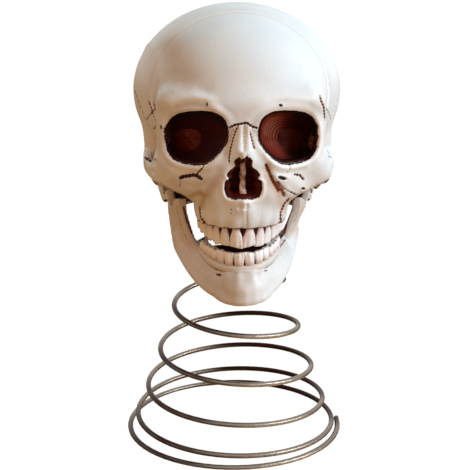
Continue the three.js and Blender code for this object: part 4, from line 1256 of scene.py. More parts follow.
# %% Lofting
def lofted(rings):
    """A skin through rings of equal count, closed at both ends."""
    bm = bmesh.new()
    count = len(rings[0])
    bmesh.ops.create_circle(bm, segments=count, radius=1)
    row = bm.verts[:]
    first = row
    for vert, spot in zip(row, rings[0]):
        vert.co = Vector(spot) * MM
    for ring in rings[1:]:
        edges = [bm.edges.get((row[i - 1], row[i])) for i in range(count)]
        made = bmesh.ops.extrude_edge_only(bm, edges=edges)["geom"]
        fresh = {item for item in made if isinstance(item, bmesh.types.BMVert)}
        row = [next(e.other_vert(v) for e in v.link_edges if e.other_vert(v) in fresh) for v in row]
        for vert, spot in zip(row, ring):
            vert.co = Vector(spot) * MM
    for end in (first, row):
        loop = [bm.edges.get((end[i - 1], end[i])) for i in range(count)]
        bmesh.ops.contextual_create(bm, geom=loop)
    bmesh.ops.recalc_face_normals(bm, faces=bm.faces)
    return bm


# %% Cup
lip = 1.25  # of the cup under the skin, in millimetres
bowl_depth = 13.5  # behind the lip, in millimetres
cup_wall = 1.2  # thickness at the cup's end
bowl_end = 0.4  # share of the opening that the end disc keeps
straight_depth = 2.2  # before the bowl starts to close in
step_ends = (0.12, 0.26, 0.4, 0.53, 0.65, 0.76, 0.86, 0.94)
score_pitch = 0.85  # of the lines scored in the end, in millimetres
outer_rings = 8  # from the back of the cup to its lip
disc_shares = (0.97, 0.9, 0.82, 0.74, 0.66, 0.58, 0.5, 0.42, 0.34, 0.26, 0.18, 0.1, 0.03)


def eye_cup(side, name, score_angle, out_shift, down_shift):
    shares_near = np.linspace(-0.3, 0.4, 57)
    start = where_inset(lambda share: socket_ring(side, share, -seat_gap), lip, shares_near)

    def ring(depth, grow, closing):
        """A ring at a depth in millimetres behind the lip, closed in by a share."""
        shares = start + depth / orbit_depth
        stack = np.array([socket_ring(side, d, grow, min(d, 0.1))[i] for i, d in enumerate(shares)])
        middle = stack.mean(0)
        size = math.cos(math.asin(closing * math.sin(math.acos(bowl_end))))
        shift = np.array([side * out_shift, 0, -down_shift]) * closing
        return middle + (stack - middle) * size + shift

    # The back of the cup first, then over its rounded lip and down the steps inside.
    rings = [ring(share * bowl_depth + cup_wall, -seat_gap, share) for share in (1, 0.8)]
    rings += [ring(bowl_depth * 0.5 + 1, -seat_gap, 0.5), ring(straight_depth, -seat_gap, 0)]
    rings += [ring(0, -seat_gap, 0), ring(-0.1, -0.45, 0), ring(0.05, -0.65, 0), ring(0.5, -0.8, 0)]
    before = 0.0
    for end in step_ends:
        shallow = straight_depth + (bowl_depth - straight_depth) * before
        deep = straight_depth + (bowl_depth - straight_depth) * end
        rings += [ring(shallow, -0.85, before), ring(shallow + 0.12, -0.9, (before + 2 * end) / 3)]
        rings += [ring(shallow + 0.4, -0.9, end), ring(deep - 0.2, -0.9, end)]
        before = end
    last = rings[-1]
    middle = last.mean(0)
    cosine, sine = math.cos(score_angle), math.sin(score_angle)
    for share in disc_shares:
        flat = middle + (last - middle) * share
        across = (flat[:, 0] - middle[0]) * cosine + (flat[:, 2] - middle[2]) * sine
        dome = 1 - share**2
        scores = 0.24 * np.cos(2 * math.pi * across / score_pitch) * min(1, 6 * dome)
        flat[:, 1] -= 0.5 * dome + scores
        rings.append(flat)
    return mesh_object(name, lofted([place_on_model(r) for r in rings]))


right_cup = eye_cup(-1, "right_socket", math.radians(50), 3.4, 3.2)
left_cup = eye_cup(1, "left_socket", math.radians(90), 1.6, 3.2)
print("each cup has", len(left_cup.data.polygons), "faces")

# %% [markdown]
# The cups took the most paint. It ran down the walls and dried nearly black in the steps. The
# raised edges of the steps carry a painted highlight in reddish brown, and the walls are painted
# redder
# where the light falls on them: the nose side of the left cup and the end of the right one.

# %% Cup finish
black_brown = colour(22, 2, 2)
red_brown = colour(112, 38, 24)
worn_and_highlight_brown = colour(150, 98, 82)


def cup_finish(name):
    finish = Finish(name, IOR=1.22)
    runs = finish.cloud(60, 4, finish.stretched(1, 1, 0.35))
    grain = finish.cloud(700, 5)
    edge = finish.painted("edge")
    wiped_and_lit = finish.painted("wiped_and_lit")
    # The wiped value shows the red where paint is thin and where the light falls; the edge value is
    # a painted highlight on raised edges.
    bared_and_lit = wiped_and_lit * (0.5 + runs) + edge * (0.15 + 0.4 * wiped_and_lit)
    paint = finish.mix(black_brown, red_brown, bared_and_lit.capped())
    worn_and_highlight = (edge * wiped_and_lit * (0.5 + grain)).between(0.2, 0.75)
    paint = finish.mix(paint, worn_and_highlight_brown, worn_and_highlight * 0.85)
    relief = finish.bump(runs * 0.4 + grain * 0.6, 0.0003, 0.6)
    return finish.wear(Base_Color=paint, Roughness=0.4 + 0.3 * grain, Normal=relief)


cup_paint = cup_finish("cup_paint")
for cup, node, disc in ((left_cup, "left_eye_cup", 0.3), (right_cup, "right_eye_cup", 0.55)):
    cup.data.materials.append(cup_paint)
    # Painted highlights on the raised step edges, stronger on the scored end disc.
    raised = -hollowness(cup) * 7
    local = in_skull(points_of(cup))
    under = -bone_field(local)
    ring_size = len(local) // (outer_rings + 4 * len(step_ends) + len(disc_shares))
    on_disc = np.arange(len(local)) >= len(local) - ring_size * len(disc_shares)
    raised = np.clip(raised * (1 + 2 * on_disc), 0, 1) * step(under, 2.5, 4.5)
    paint_points(cup, "edge", raised)
    # Painted light: the left cup's nose-side wall is redder where the light falls on it, and both
    # end discs are redder.
    if node == "left_eye_cup":
        wall = 0.08 + 1.1 * step(local[:, 0], 21, 12) * step(under, 1.5, 3) * step(under, 15, 6)
    else:
        wall = 0.06 + 0.12 * step(local[:, 2], 46, 41)
    paint_points(cup, "wiped_and_lit", np.where(on_disc, disc, wall))
    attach(cup, "skull")
    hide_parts(node)

# %% [markdown]
# ## Nose
#
# The nose opening is backed by another dark piece. Its side walls carry the scrolls of thin bone
# that a real nose has, and a ragged septum stands in the middle, rubbed back to a dusty pink.

# %% Nose lining
def nose_lining(name):
    start = where_inset(lambda depth: nose_ring(depth, -seat_gap), lip, nose_depths)

    def ring(share, grow, scroll=0.0):
        depths = start + (nose_deep - start) * share
        rows = np.array([nose_ring(d, grow, min(scroll, 1))[i] for i, d in enumerate(depths)])
        fold = 0.5 * hump(rows[:, 2], 25.5, 0.9) + 0.8 * hump(rows[:, 2], 19.5, 1.2)
        rows[:, 0] -= np.sign(rows[:, 0]) * fold * scroll
        rows[:, 2] -= scroll * 0.8 * hump(rows[:, 0], 0, 1.2) * step(rows[:, 2], 28, 30)
        return rows

    rings = [ring(1, -seat_gap), ring(0.5, -seat_gap), ring(0, -seat_gap)]
    rings += [ring(-0.015, -0.7, 0.3), ring(0, -1.15, 0.6)]
    for share in (0.04, 0.1, 0.2, 0.32, 0.45, 0.58, 0.7, 0.82, 0.9):
        rings.append(ring(share, -1.5 - 0.3 * share, 0.6 + 0.9 * math.sin(math.pi * share)))
    last = rings[-1]
    middle = last.mean(0)
    for share in (0.9, 0.7, 0.5, 0.3, 0.12):
        rings.append(middle + (last - middle) * share + (0, 0.4 * (1 - share), 0))
    return mesh_object(name, lofted([place_on_model(r) for r in rings]))


nose = nose_lining("nose_lining")
print("nose lining", len(nose.data.polygons), "faces")


# %% Septum
septum_thickness = 1.3


def septum(name):
    """A thin plate with a broken front edge."""
    bm = bmesh.new()
    bmesh.ops.create_grid(bm, x_segments=26, y_segments=46, size=0.5)
    low, high = nose_floor - 0.3, nose_floor + nose_tall - 0.4
    for vert in bm.verts:
        deep, up = vert.co.x + 0.5, vert.co.y + 0.5
        z = low + (high - low) * up
        ragged = 1.1 * noise.noise((0, z * 0.55, 3)) + 0.8 * noise.noise((0, z * 1.7, 8))
        front = -52.4 + 1.6 * up**2 + ragged + 1.3 * math.exp(-(((up - 0.45) / 0.12) ** 2))
        front -= 2.0 * math.exp(-((up / 0.12) ** 2))  # its foot runs out to the rim
        y = front + (nose_deep - half_length - 0.4 - front) * deep
        x = 0.3 * noise.noise((y * 0.25, z * 0.3, 5)) + 0.2 * noise.noise((y, z, 1))
        vert.co = Vector((x + side_shift, y, z + base_height)) * MM
    bm.normal_update()
    bmesh.ops.solidify(bm, geom=bm.faces[:], thickness=septum_thickness * MM)
    middle = np.mean([vert.co.x for vert in bm.verts]) / MM - side_shift
    for vert in bm.verts:
        local = vert.co / MM - Vector((side_shift, 0, base_height))
        thick = 1 + 0.62 * max(0, (-45 - local.y) / 5) * (0.8 + 0.6 * noise.noise(local * 0.6))
        vert.co.x = (side_shift + (local.x - middle) * thick) * MM
    bmesh.ops.recalc_face_normals(bm, faces=bm.faces)
    return mesh_object(name, bm)


dusty_pink = colour(196, 138, 122)
pale_pink = colour(246, 216, 204)


def septum_finish(name):
    finish = Finish(name, IOR=1.45)
    grain = finish.cloud(600, 5)
    rough = finish.cloud(160, 4)
    front = finish.painted("front")
    paint = finish.mix(red_brown, dusty_pink, (front * (0.4 + rough)).between(0.15, 0.6))
    bright = (front * (grain + rough)).between(0.66, 0.95)
    paint = finish.mix(paint, pale_pink, bright * 0.95)
    specks = finish.cloud(420, 2).between(0.4, 0.33)
    paint = finish.mix(paint, black_brown, specks * 0.85)
    relief = finish.bump(rough + grain, 0.0004, 0.7)
    return finish.wear(Base_Color=paint, Roughness=0.5 + 0.3 * grain, Normal=relief)


plate = septum("septum_plate")
plate.data.materials.append(septum_finish("septum_paint"))
fronts = in_skull(points_of(plate))
paint_points(plate, "front", step(fronts[:, 1], -45.5, -50.5))
nose.data.materials.append(cup_paint)
under = -bone_field(in_skull(points_of(nose)))
# Painted highlights on the raised edges of the scrolls.
paint_points(nose, "edge", np.clip(-hollowness(nose) * 5, 0, 0.5) * step(under, 3, 5))
paint_points(nose, "wiped_and_lit", 0.35 + 0.5 * step(under, 1.5, 4))
for piece in (nose, plate):
    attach(piece, "skull")
    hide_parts("nose_insert")
print("septum", len(plate.data.polygons), "faces")

# %% [markdown]
# ## Teeth
#
# The real rows are one moulding each, but every tooth on them has its own shape: broad front
# teeth with worn edges, blunt eye teeth, and grinders with cusps. The upper ones are narrow at the
# neck, so that dark triangles show between them, and the lower ones are stout. Each crown here is
# a loft of its own. A dark band behind the necks ties each row together, and the lower row stands
# on a second, pale band, which is the edge of the jaw's bone.

# %% Crowns
tooth_thickness = 3.2
crown_sides = 28
crown_angles = np.linspace(0, 2 * math.pi, crown_sides, endpoint=False)
# Rise, width and thickness, as shares of the crown's own.
front_crown = np.array([
    (-0.12, 0.52, 0.6), (0, 0.57, 0.74), (0.14, 0.68, 0.92), (0.28, 0.84, 1), (0.45, 0.98, 0.97),
    (0.7, 1.02, 0.86), (0.88, 1.01, 0.74), (0.95, 1.0, 0.62), (0.985, 0.98, 0.5), (1, 0.92, 0.32),
    (1.0, 0.4, 0.1),
])
back_crown = np.array([
    (-0.12, 0.6, 0.66), (0, 0.66, 0.8), (0.14, 0.78, 0.94), (0.28, 0.91, 1), (0.45, 1.0, 0.98),
    (0.7, 1.0, 0.93), (0.88, 0.92, 0.86), (0.95, 0.82, 0.76), (0.985, 0.7, 0.62), (1, 0.5, 0.4),
    (0.97, 0.2, 0.15),
])
stout_neck = np.array([0.86, 0.88, 0.9, 0.94, 0.98, 1, 1.01, 1, 0.98, 0.92, 0.4])
crown_levels = np.arange(0, len(front_crown) - 0.5, 0.5)


def crown(middle, outward, sizes, rank, seed, stout):
    """Rings of one crown, upwards from below its neck to its biting edge."""
    width, thickness, height = sizes
    along = np.array([-outward[1], outward[0]])
    c, s = squared(np.cos(crown_angles), 0.8), squared(np.sin(crown_angles), 0.86)
    shares = np.array(back_crown if rank > 3 else front_crown)
    if stout:
        shares[:, 1] = np.maximum(shares[:, 1], stout_neck * (0.95 if rank > 3 else 1))
        shares[:, 2] = np.maximum(shares[:, 2], 0.95 * stout_neck * (shares[:, 0] < 0.6))
    rng = np.random.default_rng(seed)
    lean, wear, twist = rng.uniform(-0.045, 0.045), rng.uniform(-0.05, 0.02), rng.uniform(-0.1, 0.1)
    rings = []
    for level in crown_levels:
        rise, wide, thick = (np.interp(level, range(len(shares)), column) for column in shares.T)
        across = width / 2 * wide * c + lean * height * rise
        lobes = 0.10 * np.maximum(s, 0) * np.cos(2 * math.pi * c) * rise * (rank < 4)
        out = thickness * (thick * s / 2 + lobes + 0.3 * twist * c)
        tip = rise * (1 + wear)
        if rank == 3:
            tip = tip + 0.05 * rise**4 * (1 - np.abs(c) * 1.6)
        elif rank > 3:
            tip = tip + 0.08 * rise**6 * np.cos(2 * math.pi * c) * np.abs(s) - 0.05 * rise**8
        elif rank == 1:
            tip = tip - 0.05 * rise**4 * c
        flat = middle + np.outer(across, along) + np.outer(out, outward)
        rings.append(np.column_stack([flat, tip * height * np.ones(crown_sides)]))
    return rings


def tooth_row(arch, height, gum, up, seed, stout=False):
    """All crowns of one arch. `up` is 1 for teeth that point up and -1 for those that hang."""
    crowns = []
    _, lengths, starts = arch_steps(arch)
    widths = np.array(arch[3]) * starts[-1] / sum(arch[3])
    for side in (-1, 1):
        for rank, (width, end) in enumerate(zip(widths, np.cumsum(widths)), 1):
            share = np.interp(end - width / 2, lengths, np.linspace(0, 1, len(lengths)))
            back = max(0, share - 0.45)
            sizes = width, tooth_thickness * (1 + 0.6 * back), height * (1 - 0.5 * back)
            rings = crown(*arch_outward(arch, share), sizes, rank, seed + rank + 10 * side, stout)
            crowns.append([r * (side, 1, up) + (0, 0, gum) for r in rings])
    return crowns


print("crown levels:", len(crown_levels))


# %% Tooth finish
ivory = colour(255, 253, 252)
ivory_grey = colour(242, 236, 235)
neck_brown = colour(126, 88, 70)


def tooth_finish(name):
    finish = Finish(name, Roughness=0.32, IOR=1.5, Coat_Weight=0.15)
    grain = finish.cloud(800, 4)
    streaks = finish.cloud(260, 3, finish.stretched(1, 1, 0.22))
    patches = finish.cloud(120, 3)
    rise, wash, stain = (finish.painted(name) for name in ("rise", "wash", "stain"))
    enamel = finish.mix(ivory_grey, ivory, (patches * 0.7 + rise * 0.4).between(0.3, 0.75))
    enamel = finish.mix(enamel, tan_stain_and_shade, (stain * (0.4 + streaks)).capped() * 0.75)
    enamel = finish.mix(enamel, neck_brown, (wash + (streaks - 0.5) * 0.6).between(0.35, 0.7))
    enamel = finish.mix(enamel, deep_brown, (wash + (grain - 0.5) * 0.4).between(0.72, 1.05))
    relief = finish.bump(streaks * 0.6 + grain * 0.4, 0.00018, 0.5)
    return finish.wear(Base_Color=enamel, Roughness=0.26 + 0.16 * grain, Normal=relief)


tooth_ivory = tooth_finish("tooth_ivory")
print("tooth finish:", len(tooth_ivory.node_tree.nodes), "nodes")


# %% Rows
def gum_band(arch, low, high, thickness, turn):
    """A band along the arch, from low to high, as rings that are turned with their row."""
    corners = np.linspace(0, 2 * math.pi, 12, endpoint=False)
    across = squared(np.cos(corners), 0.5) * thickness / 2 - 0.25
    heights = low + (high - low) * (squared(np.sin(corners), 0.5) / 2 + 0.5)
    rings = []
    for share in np.linspace(-0.97, 0.97, 61):
        spot, outward = arch_outward(arch, share)
        rings.append(turn(np.column_stack([spot + np.outer(across, outward), heights])))
    return rings


def joined_row(name, crowns, bands, turn):
    """One mesh from all crowns and the bands, each band with its place among the three paints."""
    whole = bmesh.new()
    paints = []
    for rings, paint in [*[([turn(r) for r in rings], 0) for rings in crowns], *bands]:
        part = lofted([place_on_model(r) for r in rings])
        paints += [paint] * len(part.faces)
        mesh = bpy.data.meshes.new("part")
        part.to_mesh(mesh)
        part.free()
        whole.from_mesh(mesh)
        bpy.data.meshes.remove(mesh)
    row = mesh_object(name, whole, tooth_ivory, cup_paint, bone_plastic)
    row.data.polygons.foreach_set("material_index", paints)
    return row


def paint_row(piece, crowns, bands, roots, necks, between, bitten):
    """Paints all crowns alike, by level and side, then each band with one wash and one stain."""
    levels = crown_levels[:, None]
    up = np.interp(levels, range(len(front_crown)), front_crown[:, 0])
    side = np.abs(np.cos(crown_angles))
    wash = np.maximum(necks * step(up, 0.17, -0.03), between * side**8 * step(up, 0.75, 0.3))
    stain = roots * step(up, 0.6, 0.05) + bitten * step(levels, 8, 10) + 0.05 * side**2
    # Each paint's values on a crown, then its share of a band's wash and of its stain.
    paints = {"rise": (up + 0 * side, 0, 0), "wash": (wash, 1, 0), "stain": (stain, 0, 1)}
    for name, (values, dark, tan) in paints.items():
        rows = [np.tile(values.ravel(), len(crowns))]
        for rings, *amounts in bands:
            rows.append(np.full(sum(len(r) for r in rings), np.dot(amounts, (dark, tan))))
        paint_points(piece, name, np.concatenate(rows))
    paint_points(piece, "wiped_and_lit", np.full(len(piece.data.vertices), 0.3))


def as_made(local):
    return local


upper_gum, upper_height = 2.3, 7.6
upper_crowns = tooth_row(upper_arch, upper_height, upper_gum, -1, seed=100)
upper_band = gum_band(upper_arch, upper_gum - 5.9, upper_gum + 0.5, 1.7, as_made)
upper_row = joined_row("upper_row", upper_crowns, [(upper_band, 1)], as_made)
bands = [(upper_band, 1.2, 1)]
paint_row(upper_row, upper_crowns, bands, roots=0.12, necks=0.5, between=0.7, bitten=0)
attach(upper_row, "skull")
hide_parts("upper_teeth")
print("upper row", len(upper_row.data.polygons), "faces")

# %% [markdown]
# ## Lower jaw
#
# The model's jaw is already the right shape, in broad facets. Rebuilt in small cells, it only
# needs its facets melted. Plain smoothing would also shrink the thin branches, so each round
# first smooths and then pushes back a little more than it took, which keeps the volume.

# %% Jaw
jaw_cell, jaw_rounds = ((0.62, 26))  # millimetres, and times softened
jaw = model_copy("lower_jaw", "jaw_bone")
even_cells(jaw, jaw_cell)
soften(jaw, jaw_rounds)
print("jaw", len(jaw.data.polygons), "faces")

# %% [markdown]
# The jaw has its own marks: the swellings over the roots of its teeth, the bump of the chin with a
# small hollow to each side, the nerve holes, and the low ridge that runs up onto each branch. The
# teeth hang a little askew on the real one, so their count is taken before that tilt.

# %% Jaw marks
hinge_height, hinge_back = 8.0, -4.0
chin_lift = 1.4  # of the chin's lower edge
lower_gum, lower_height = -13.5, 5.6
jaw_swing, jaw_skew, jaw_tilt = 0.05, 0.07, 0.12
swing_pivot = hinge_back - 0.66 * (52.5 + hinge_back)  # the y about which the jaw is swung
tilt_front = -51.6  # the y at which the tilt leaves it level
row_end = -24  # the y behind which no teeth stand
jaw_pixels = [
    # Pixels along each mark, then its depth, half width, wash and stain.
    (((216.5, 274.5), (219.5, 275)), 0.6, 0.5, 0.85, 0),
    (((265.5, 270), (267.5, 270.5)), 0.5, 0.45, 0.6, 0),
    (((183.8, 207.5), (186.3, 218.8), (191.9, 232.5), (196.3, 238)), 0.15, 0.55, 0.75, 0),
    (((295.6, 195.6), (291.3, 202.5), (288, 215), (284.4, 232.5), (280, 238)), 0.15, 0.55, 0.7, 0),
    (((205, 256), (222, 268), (244, 272), (262, 266), (280, 250)), 0.4, 2.4, 0, 0.35),
    (((222, 290), (226, 297)), 0.5, 2.2, 0, 0.15),
    (((272, 284), (268, 292)), 0.4, 2.2, 0, 0.08),
    (((236, 286), (246, 289), (257, 285)), -0.5, 3.5, 0, 0),
    (((290, 232), (296, 218), (300, 204)), 0, 0.4, 0.36, 0),
    (((176, 206), (180, 224), (187, 240)), 0, 0.5, 0.35, 0.2),
    (((285, 240), (279, 248), (272, 254)), 0, 0.6, 0.45, 0.3),
    (((196, 238), (203, 246), (212, 254)), 0, 0.6, 0.5, 0.3),
    (((220, 254), (226, 261), (236, 268), (250, 267), (262, 259)), 0, 1.6, 0, 0.55),
    (((178, 236), (190, 252), (206, 262)), -0.35, 1.8, 0, 0),
    (((172, 200), (178, 222), (182, 240)), 0.35, 2.4, 0, 0.4),
]


def swung_share(local):
    """How far each point is set askew: not at all at the hinge, in full below it."""
    return step(hinge_height - 4.2 - local[:, 2], 0, 20)


def before_swing(local):
    """The jaw's points as they were before the jaw was set askew."""
    share = swung_share(local)
    x = local[:, 0] - share * jaw_swing * (swing_pivot - local[:, 1])
    z = local[:, 2] - share * (jaw_skew * x + jaw_tilt * (local[:, 1] - tilt_front))
    return np.column_stack([x, local[:, 1], z])


def after_swing(local):
    """Points set askew with the jaw."""
    share = swung_share(local)
    z = local[:, 2] + share * (jaw_skew * local[:, 0] + jaw_tilt * (local[:, 1] - tilt_front))
    x = local[:, 0] + share * jaw_swing * (swing_pivot - local[:, 1])
    return np.column_stack([x, local[:, 1], z])


def mark_jaw(marks):
    """All marks of the jaw. It gives how far each point lies inside the mouth, 0 to 1."""
    photo_x, photo_y = marks.seen.T
    for route, depth, width, paint, tan in jaw_pixels:
        away = out_of_reach * (1 - marks.shown)
        shape = hump(along_route(marks.seen, route)[0] / pixels_per_mm + away, 0, width)
        marks.add(-depth * shape, wash=paint * shape, stain=tan * shape, rubbed=-depth * shape)
    x, y, z = before_swing(marks.local).T
    half, depth, front, _ = lower_arch
    arch_front = y < row_end
    outside = marks.outward[:, 0] * x + marks.outward[:, 1] * (y + 30) > 0
    roots = 0.5 + 0.5 * np.cos(2 * math.pi * arch_count(np.column_stack([x, y]), lower_arch))
    under_teeth = step(z, -22, -16) * arch_front * outside
    marks.add(0.45 * (roots - 0.5) * under_teeth, stain=0.3 * (1 - roots) * under_teeth)
    # Tan along the top of the jaw, and a painted highlight that makes the underside of the chin
    # pale.
    marks.add(stain=0.3 * step(z, -16.5, -14) * arch_front, rubbed=0.8 * step(z, -32, -37))
    # Painted shade: tan on the half of the jaw on the side away from the key lamp.
    marks.add(stain=0.4 * step(photo_x, 245, 238) * marks.shown)
    marks.add(stain=0.5 * step(photo_x, 282, 287) * step(photo_y, 242, 228) * marks.shown)
    marks.add(stain=0.45 * step(marks.outward[:, 0] * -np.sign(marks.local[:, 0]), 0.3, 0.8))
    floor_reach = np.hypot(x / (half - 1), (y + front - depth) / (depth - 1))
    inside_mouth = step(floor_reach, 1, 0.94) * arch_front * step(z, -24, -19)
    marks.add(wash=0.95 * inside_mouth)
    return inside_mouth


def carve_jaw(piece):
    model = points_of(piece)
    marks = Marks(model, at_points(piece, "normal"), 0.25)
    inside_mouth = mark_jaw(marks)
    near_hinge = np.linalg.norm(marks.local[:, 1:] - (hinge_back, hinge_height), axis=1)
    ear = hump(near_hinge, 2.6, 0.5) * step(np.abs(marks.outward[:, 0]), 0.5, 0.9)
    marks.add(wash=0.6 * ear, rubbed=0.8 * np.clip(-6 * hollowness(piece), 0, 1))
    # The relief stays clear of the pins and of the seat of the teeth, which must fit.
    y, z = before_swing(marks.local).T[1:]
    off_seat = np.abs(z - lower_gum) + 9 * (y >= row_end)
    fits = step(near_hinge, 5, 7) * step(off_seat, 0.6, 1.6)
    model = model + (marks.relief * fits)[:, None] * marks.outward
    model[:, 2] += chin_lift * step(z, -24, -32)
    move_points(piece, model)
    paint_points(piece, "wash", marks.wash)
    paint_points(piece, "stain", marks.stain)
    paint_points(piece, "rubbed", marks.rubbed * (1 - inside_mouth))


carve_jaw(jaw)
jaw.data.materials.append(bone_plastic)
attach(jaw, "jaw")
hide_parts("lower_jaw")

lower_crowns = tooth_row(lower_arch, lower_height, lower_gum, 1, seed=400, stout=True)
dark_band = gum_band(lower_arch, lower_gum - 0.4, lower_gum + 4.0, 1.7, after_swing)
root_band = gum_band(lower_arch, lower_gum - 2.5, lower_gum + 0.5, 4.5, after_swing)
lower_row = joined_row("lower_row", lower_crowns, [(root_band, 2), (dark_band, 1)], after_swing)
bands = [(root_band, 0, 0.3), (dark_band, 1.2, 1)]
paint_row(lower_row, lower_crowns, bands, roots=0.95, necks=0.3, between=0.6, bitten=0.7)
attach(lower_row, "jaw")
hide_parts("lower_teeth")
print("lower row", len(lower_row.data.polygons), "faces")

# %% [markdown]
# ## Spring
#
# The spring is a cone of bright steel wire with two idle turns at its foot. Its top turn sits
# under the flange of the plug, and its foot stands on the tree. When the skull bobs, every turn
# moves by its own share. Each ring of the wire's skin stands square to the wire's path.

# %% Wire
wire_radius = 1.15
spring_base, clamp_radius, end_softness = 48.5, 10.4, 3.0
spring_turns, cone_turns, taper_power = 7.15, 6.66, 1.4
dead_turns, climb_turns, rise_power = 0.62, 5.67, 1.48
wire_low, wire_high = 0.65, 101.75


def soft_least(a, b):
    mix = np.maximum(end_softness - np.abs(a - b), 0) / end_softness
    return np.minimum(a, b) - mix * mix * end_softness / 4


def wire_path(turns):
    cone = spring_base - (spring_base - clamp_radius) * (turns / cone_turns) ** taper_power
    radius = -soft_least(-cone, -clamp_radius)
    climb = (np.maximum(0, turns - dead_turns) / climb_turns) ** rise_power
    height = soft_least(wire_low + (wire_high - wire_low) * climb, wire_high)
    angle = -2 * math.pi * turns
    return np.column_stack([radius * np.cos(angle), radius * np.sin(angle), height])


def run_on(end, before):
    """One point more, past the end of the path, where the wire's cut face lies."""
    return end + 2 * wire_radius * (end - before) / np.linalg.norm(end - before)


steps_per_turn = 64
path = wire_path(np.linspace(0, spring_turns, round(spring_turns * steps_per_turn) + 1))
path = np.array([run_on(path[0], path[1]), *path, run_on(path[-1], path[-2])])
lengths = np.concatenate([[0], np.linalg.norm(np.diff(path, axis=0), axis=1).cumsum()])
print("wire", round(float(lengths[-1])), "mm long")

# %% Wire's skin
wire_sides = 14
turn_angles = np.linspace(0, 2 * math.pi, wire_sides, endpoint=False)
ahead = np.gradient(path, axis=0)
ahead /= np.linalg.norm(ahead, axis=1)[:, None]
outward_at = path * (1, 1, 0)
outward_at /= np.linalg.norm(outward_at, axis=1)[:, None]
above = np.cross(ahead, outward_at)
above /= np.linalg.norm(above, axis=1)[:, None]
outward_at = np.cross(above, ahead)


def wire_ring(i, radius, slide=0.0):
    """A ring of the wire's skin. Where the wire stands on the ground it is worn flat."""
    across = np.outer(np.cos(turn_angles), outward_at[i]) + np.outer(np.sin(turn_angles), above[i])
    ring = path[i] + slide * ahead[i] + radius * across
    return np.maximum(ring, (-np.inf, -np.inf, 0.02))


last = len(path) - 1
rounding = ((0.0, 0.6), (0.12, 0.9), (0.4, 1))  # of the ends: way in, and share of the radius
rings = [wire_ring(0, share * wire_radius, slide) for slide, share in rounding]
rings += [wire_ring(i, wire_radius) for i in range(1, last)]
rings += [wire_ring(last, share * wire_radius, -slide) for slide, share in reversed(rounding)]
spring = mesh_object("spring_wire", lofted(rings))
print("spring", len(spring.data.polygons), "faces")

# %% [markdown]
# The wire was drawn through a die and only lightly polished: fine scratches run along it. Its
# colour is dull brown on two sides of the cone and bright on the other two, and shifts from dark to
# bright round the wire's section: painted reflections of the room. The mesh carries the place along
# the wire, the angle round it and the side of the cone it lies on, and the paint is read from
# those.

# %% Wire finish
def wire_finish(name):
    finish = Finish(name, Metallic=1.0)
    along, c, s = finish.painted("along"), finish.painted("round_c"), finish.painted("round_s")

    def drawn(run, turn):
        """A place that is stretched along the wire."""
        sockets = {0: along * run, 1: c * turn, 2: s * turn}
        return finish.node("ShaderNodeCombineXYZ", {}, sockets).outputs[0]

    streaks = finish.cloud(1.3, 4, drawn(9, 1))
    patches = finish.cloud(1.0, 2, drawn(40, 0.7))
    scratches = finish.cloud(4, 3, drawn(25, 6))
    # Painted reflections: dark brown on the back right and front left of the cone, bright on the
    # front right and less on the back left, shifting round the wire's section.
    right, behind = finish.painted("right"), finish.painted("behind")
    shade = (right * 0.7 + behind * 0.75).between(0.25, 0.95)
    shade = shade + (right * -0.8 - behind * 0.6).between(0.45, 1) * 0.7
    shade = shade * (0.75 + 0.35 * s) + (streaks - 0.5) * 0.5
    shine = (right * 0.5 - behind * 0.85).between(0.62, 0.98)
    shine = shine + (behind * 0.6 - right * 0.8).between(0.7, 1) * 0.5
    shine = shine * (0.6 - 0.5 * s) + (patches - 0.5) * 0.4
    steel = finish.mix(colour(138, 127, 116), colour(54, 34, 28), shade.between(0.15, 0.8))
    steel = finish.mix(steel, colour(232, 228, 222), shine.between(0.3, 0.85))
    rough = 0.16 + 0.16 * scratches + 0.1 * patches
    relief = finish.bump(scratches, 0.00006, 0.6)
    return finish.wear(Base_Color=steel, Roughness=rough, Normal=relief)


bright_steel = wire_finish("bright_steel")
run_in = np.array([0, 0.1, 0.4])  # of the rounded ends' rings
ring_lengths = np.concatenate([run_in, lengths[1:last], lengths[last] - run_in[::-1]])
# The side of the cone that each ring lies on, for the painted reflections.
middles = np.array([ring.mean(0) for ring in rings])
middles /= np.linalg.norm(middles[:, :2], axis=1)[:, None]
by_ring = {"along": 10 * MM * ring_lengths, "right": middles[:, 0], "behind": middles[:, 1]}
for name, values in by_ring.items():
    paint_points(spring, name, np.repeat(values, wire_sides))
paint_points(spring, "round_c", np.tile(np.cos(turn_angles), len(rings)))
paint_points(spring, "round_s", np.tile(np.sin(turn_angles), len(rings)))
spring.data.materials.append(bright_steel)
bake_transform(spring)
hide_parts("cone_spring")

# %% [markdown]
# ## Plug, washer, screw and pins
#
# What holds the topper together is turned work. A turned piece is a profile spun round an axis: a
# chain of points, one edge between each two, and one call that sweeps it through a full turn and
# joins the ends. Small slants in the profile stand for the worn edges that catch the light.

# %% Turned pieces
def turned(name, profile, steps, material, centre, axis=(0, 0, 1)):
    """A profile of radius and height, in millimetres, spun about an axis through the centre."""
    axis = Vector(axis)
    side = axis.orthogonal().normalized()
    centre = Vector(centre)
    bm = bmesh.new()
    spots = [centre + side * radius + axis * height for radius, height in profile]
    chain = [bm.verts.new(spot * MM) for spot in spots]
    for one, next_one in zip(chain, chain[1:]):
        bm.edges.new((one, next_one))
    whole = {"angle": 2 * math.pi, "steps": steps, "use_merge": True}
    bmesh.ops.spin(bm, geom=bm.verts[:] + bm.edges[:], cent=centre * MM, axis=axis, **whole)
    bmesh.ops.remove_doubles(bm, verts=bm.verts, dist=1e-7)
    bmesh.ops.recalc_face_normals(bm, faces=bm.faces)
    made = mesh_object(name, bm, material)
    made.data.set_sharp_from_angle(angle=math.radians(40))
    return made


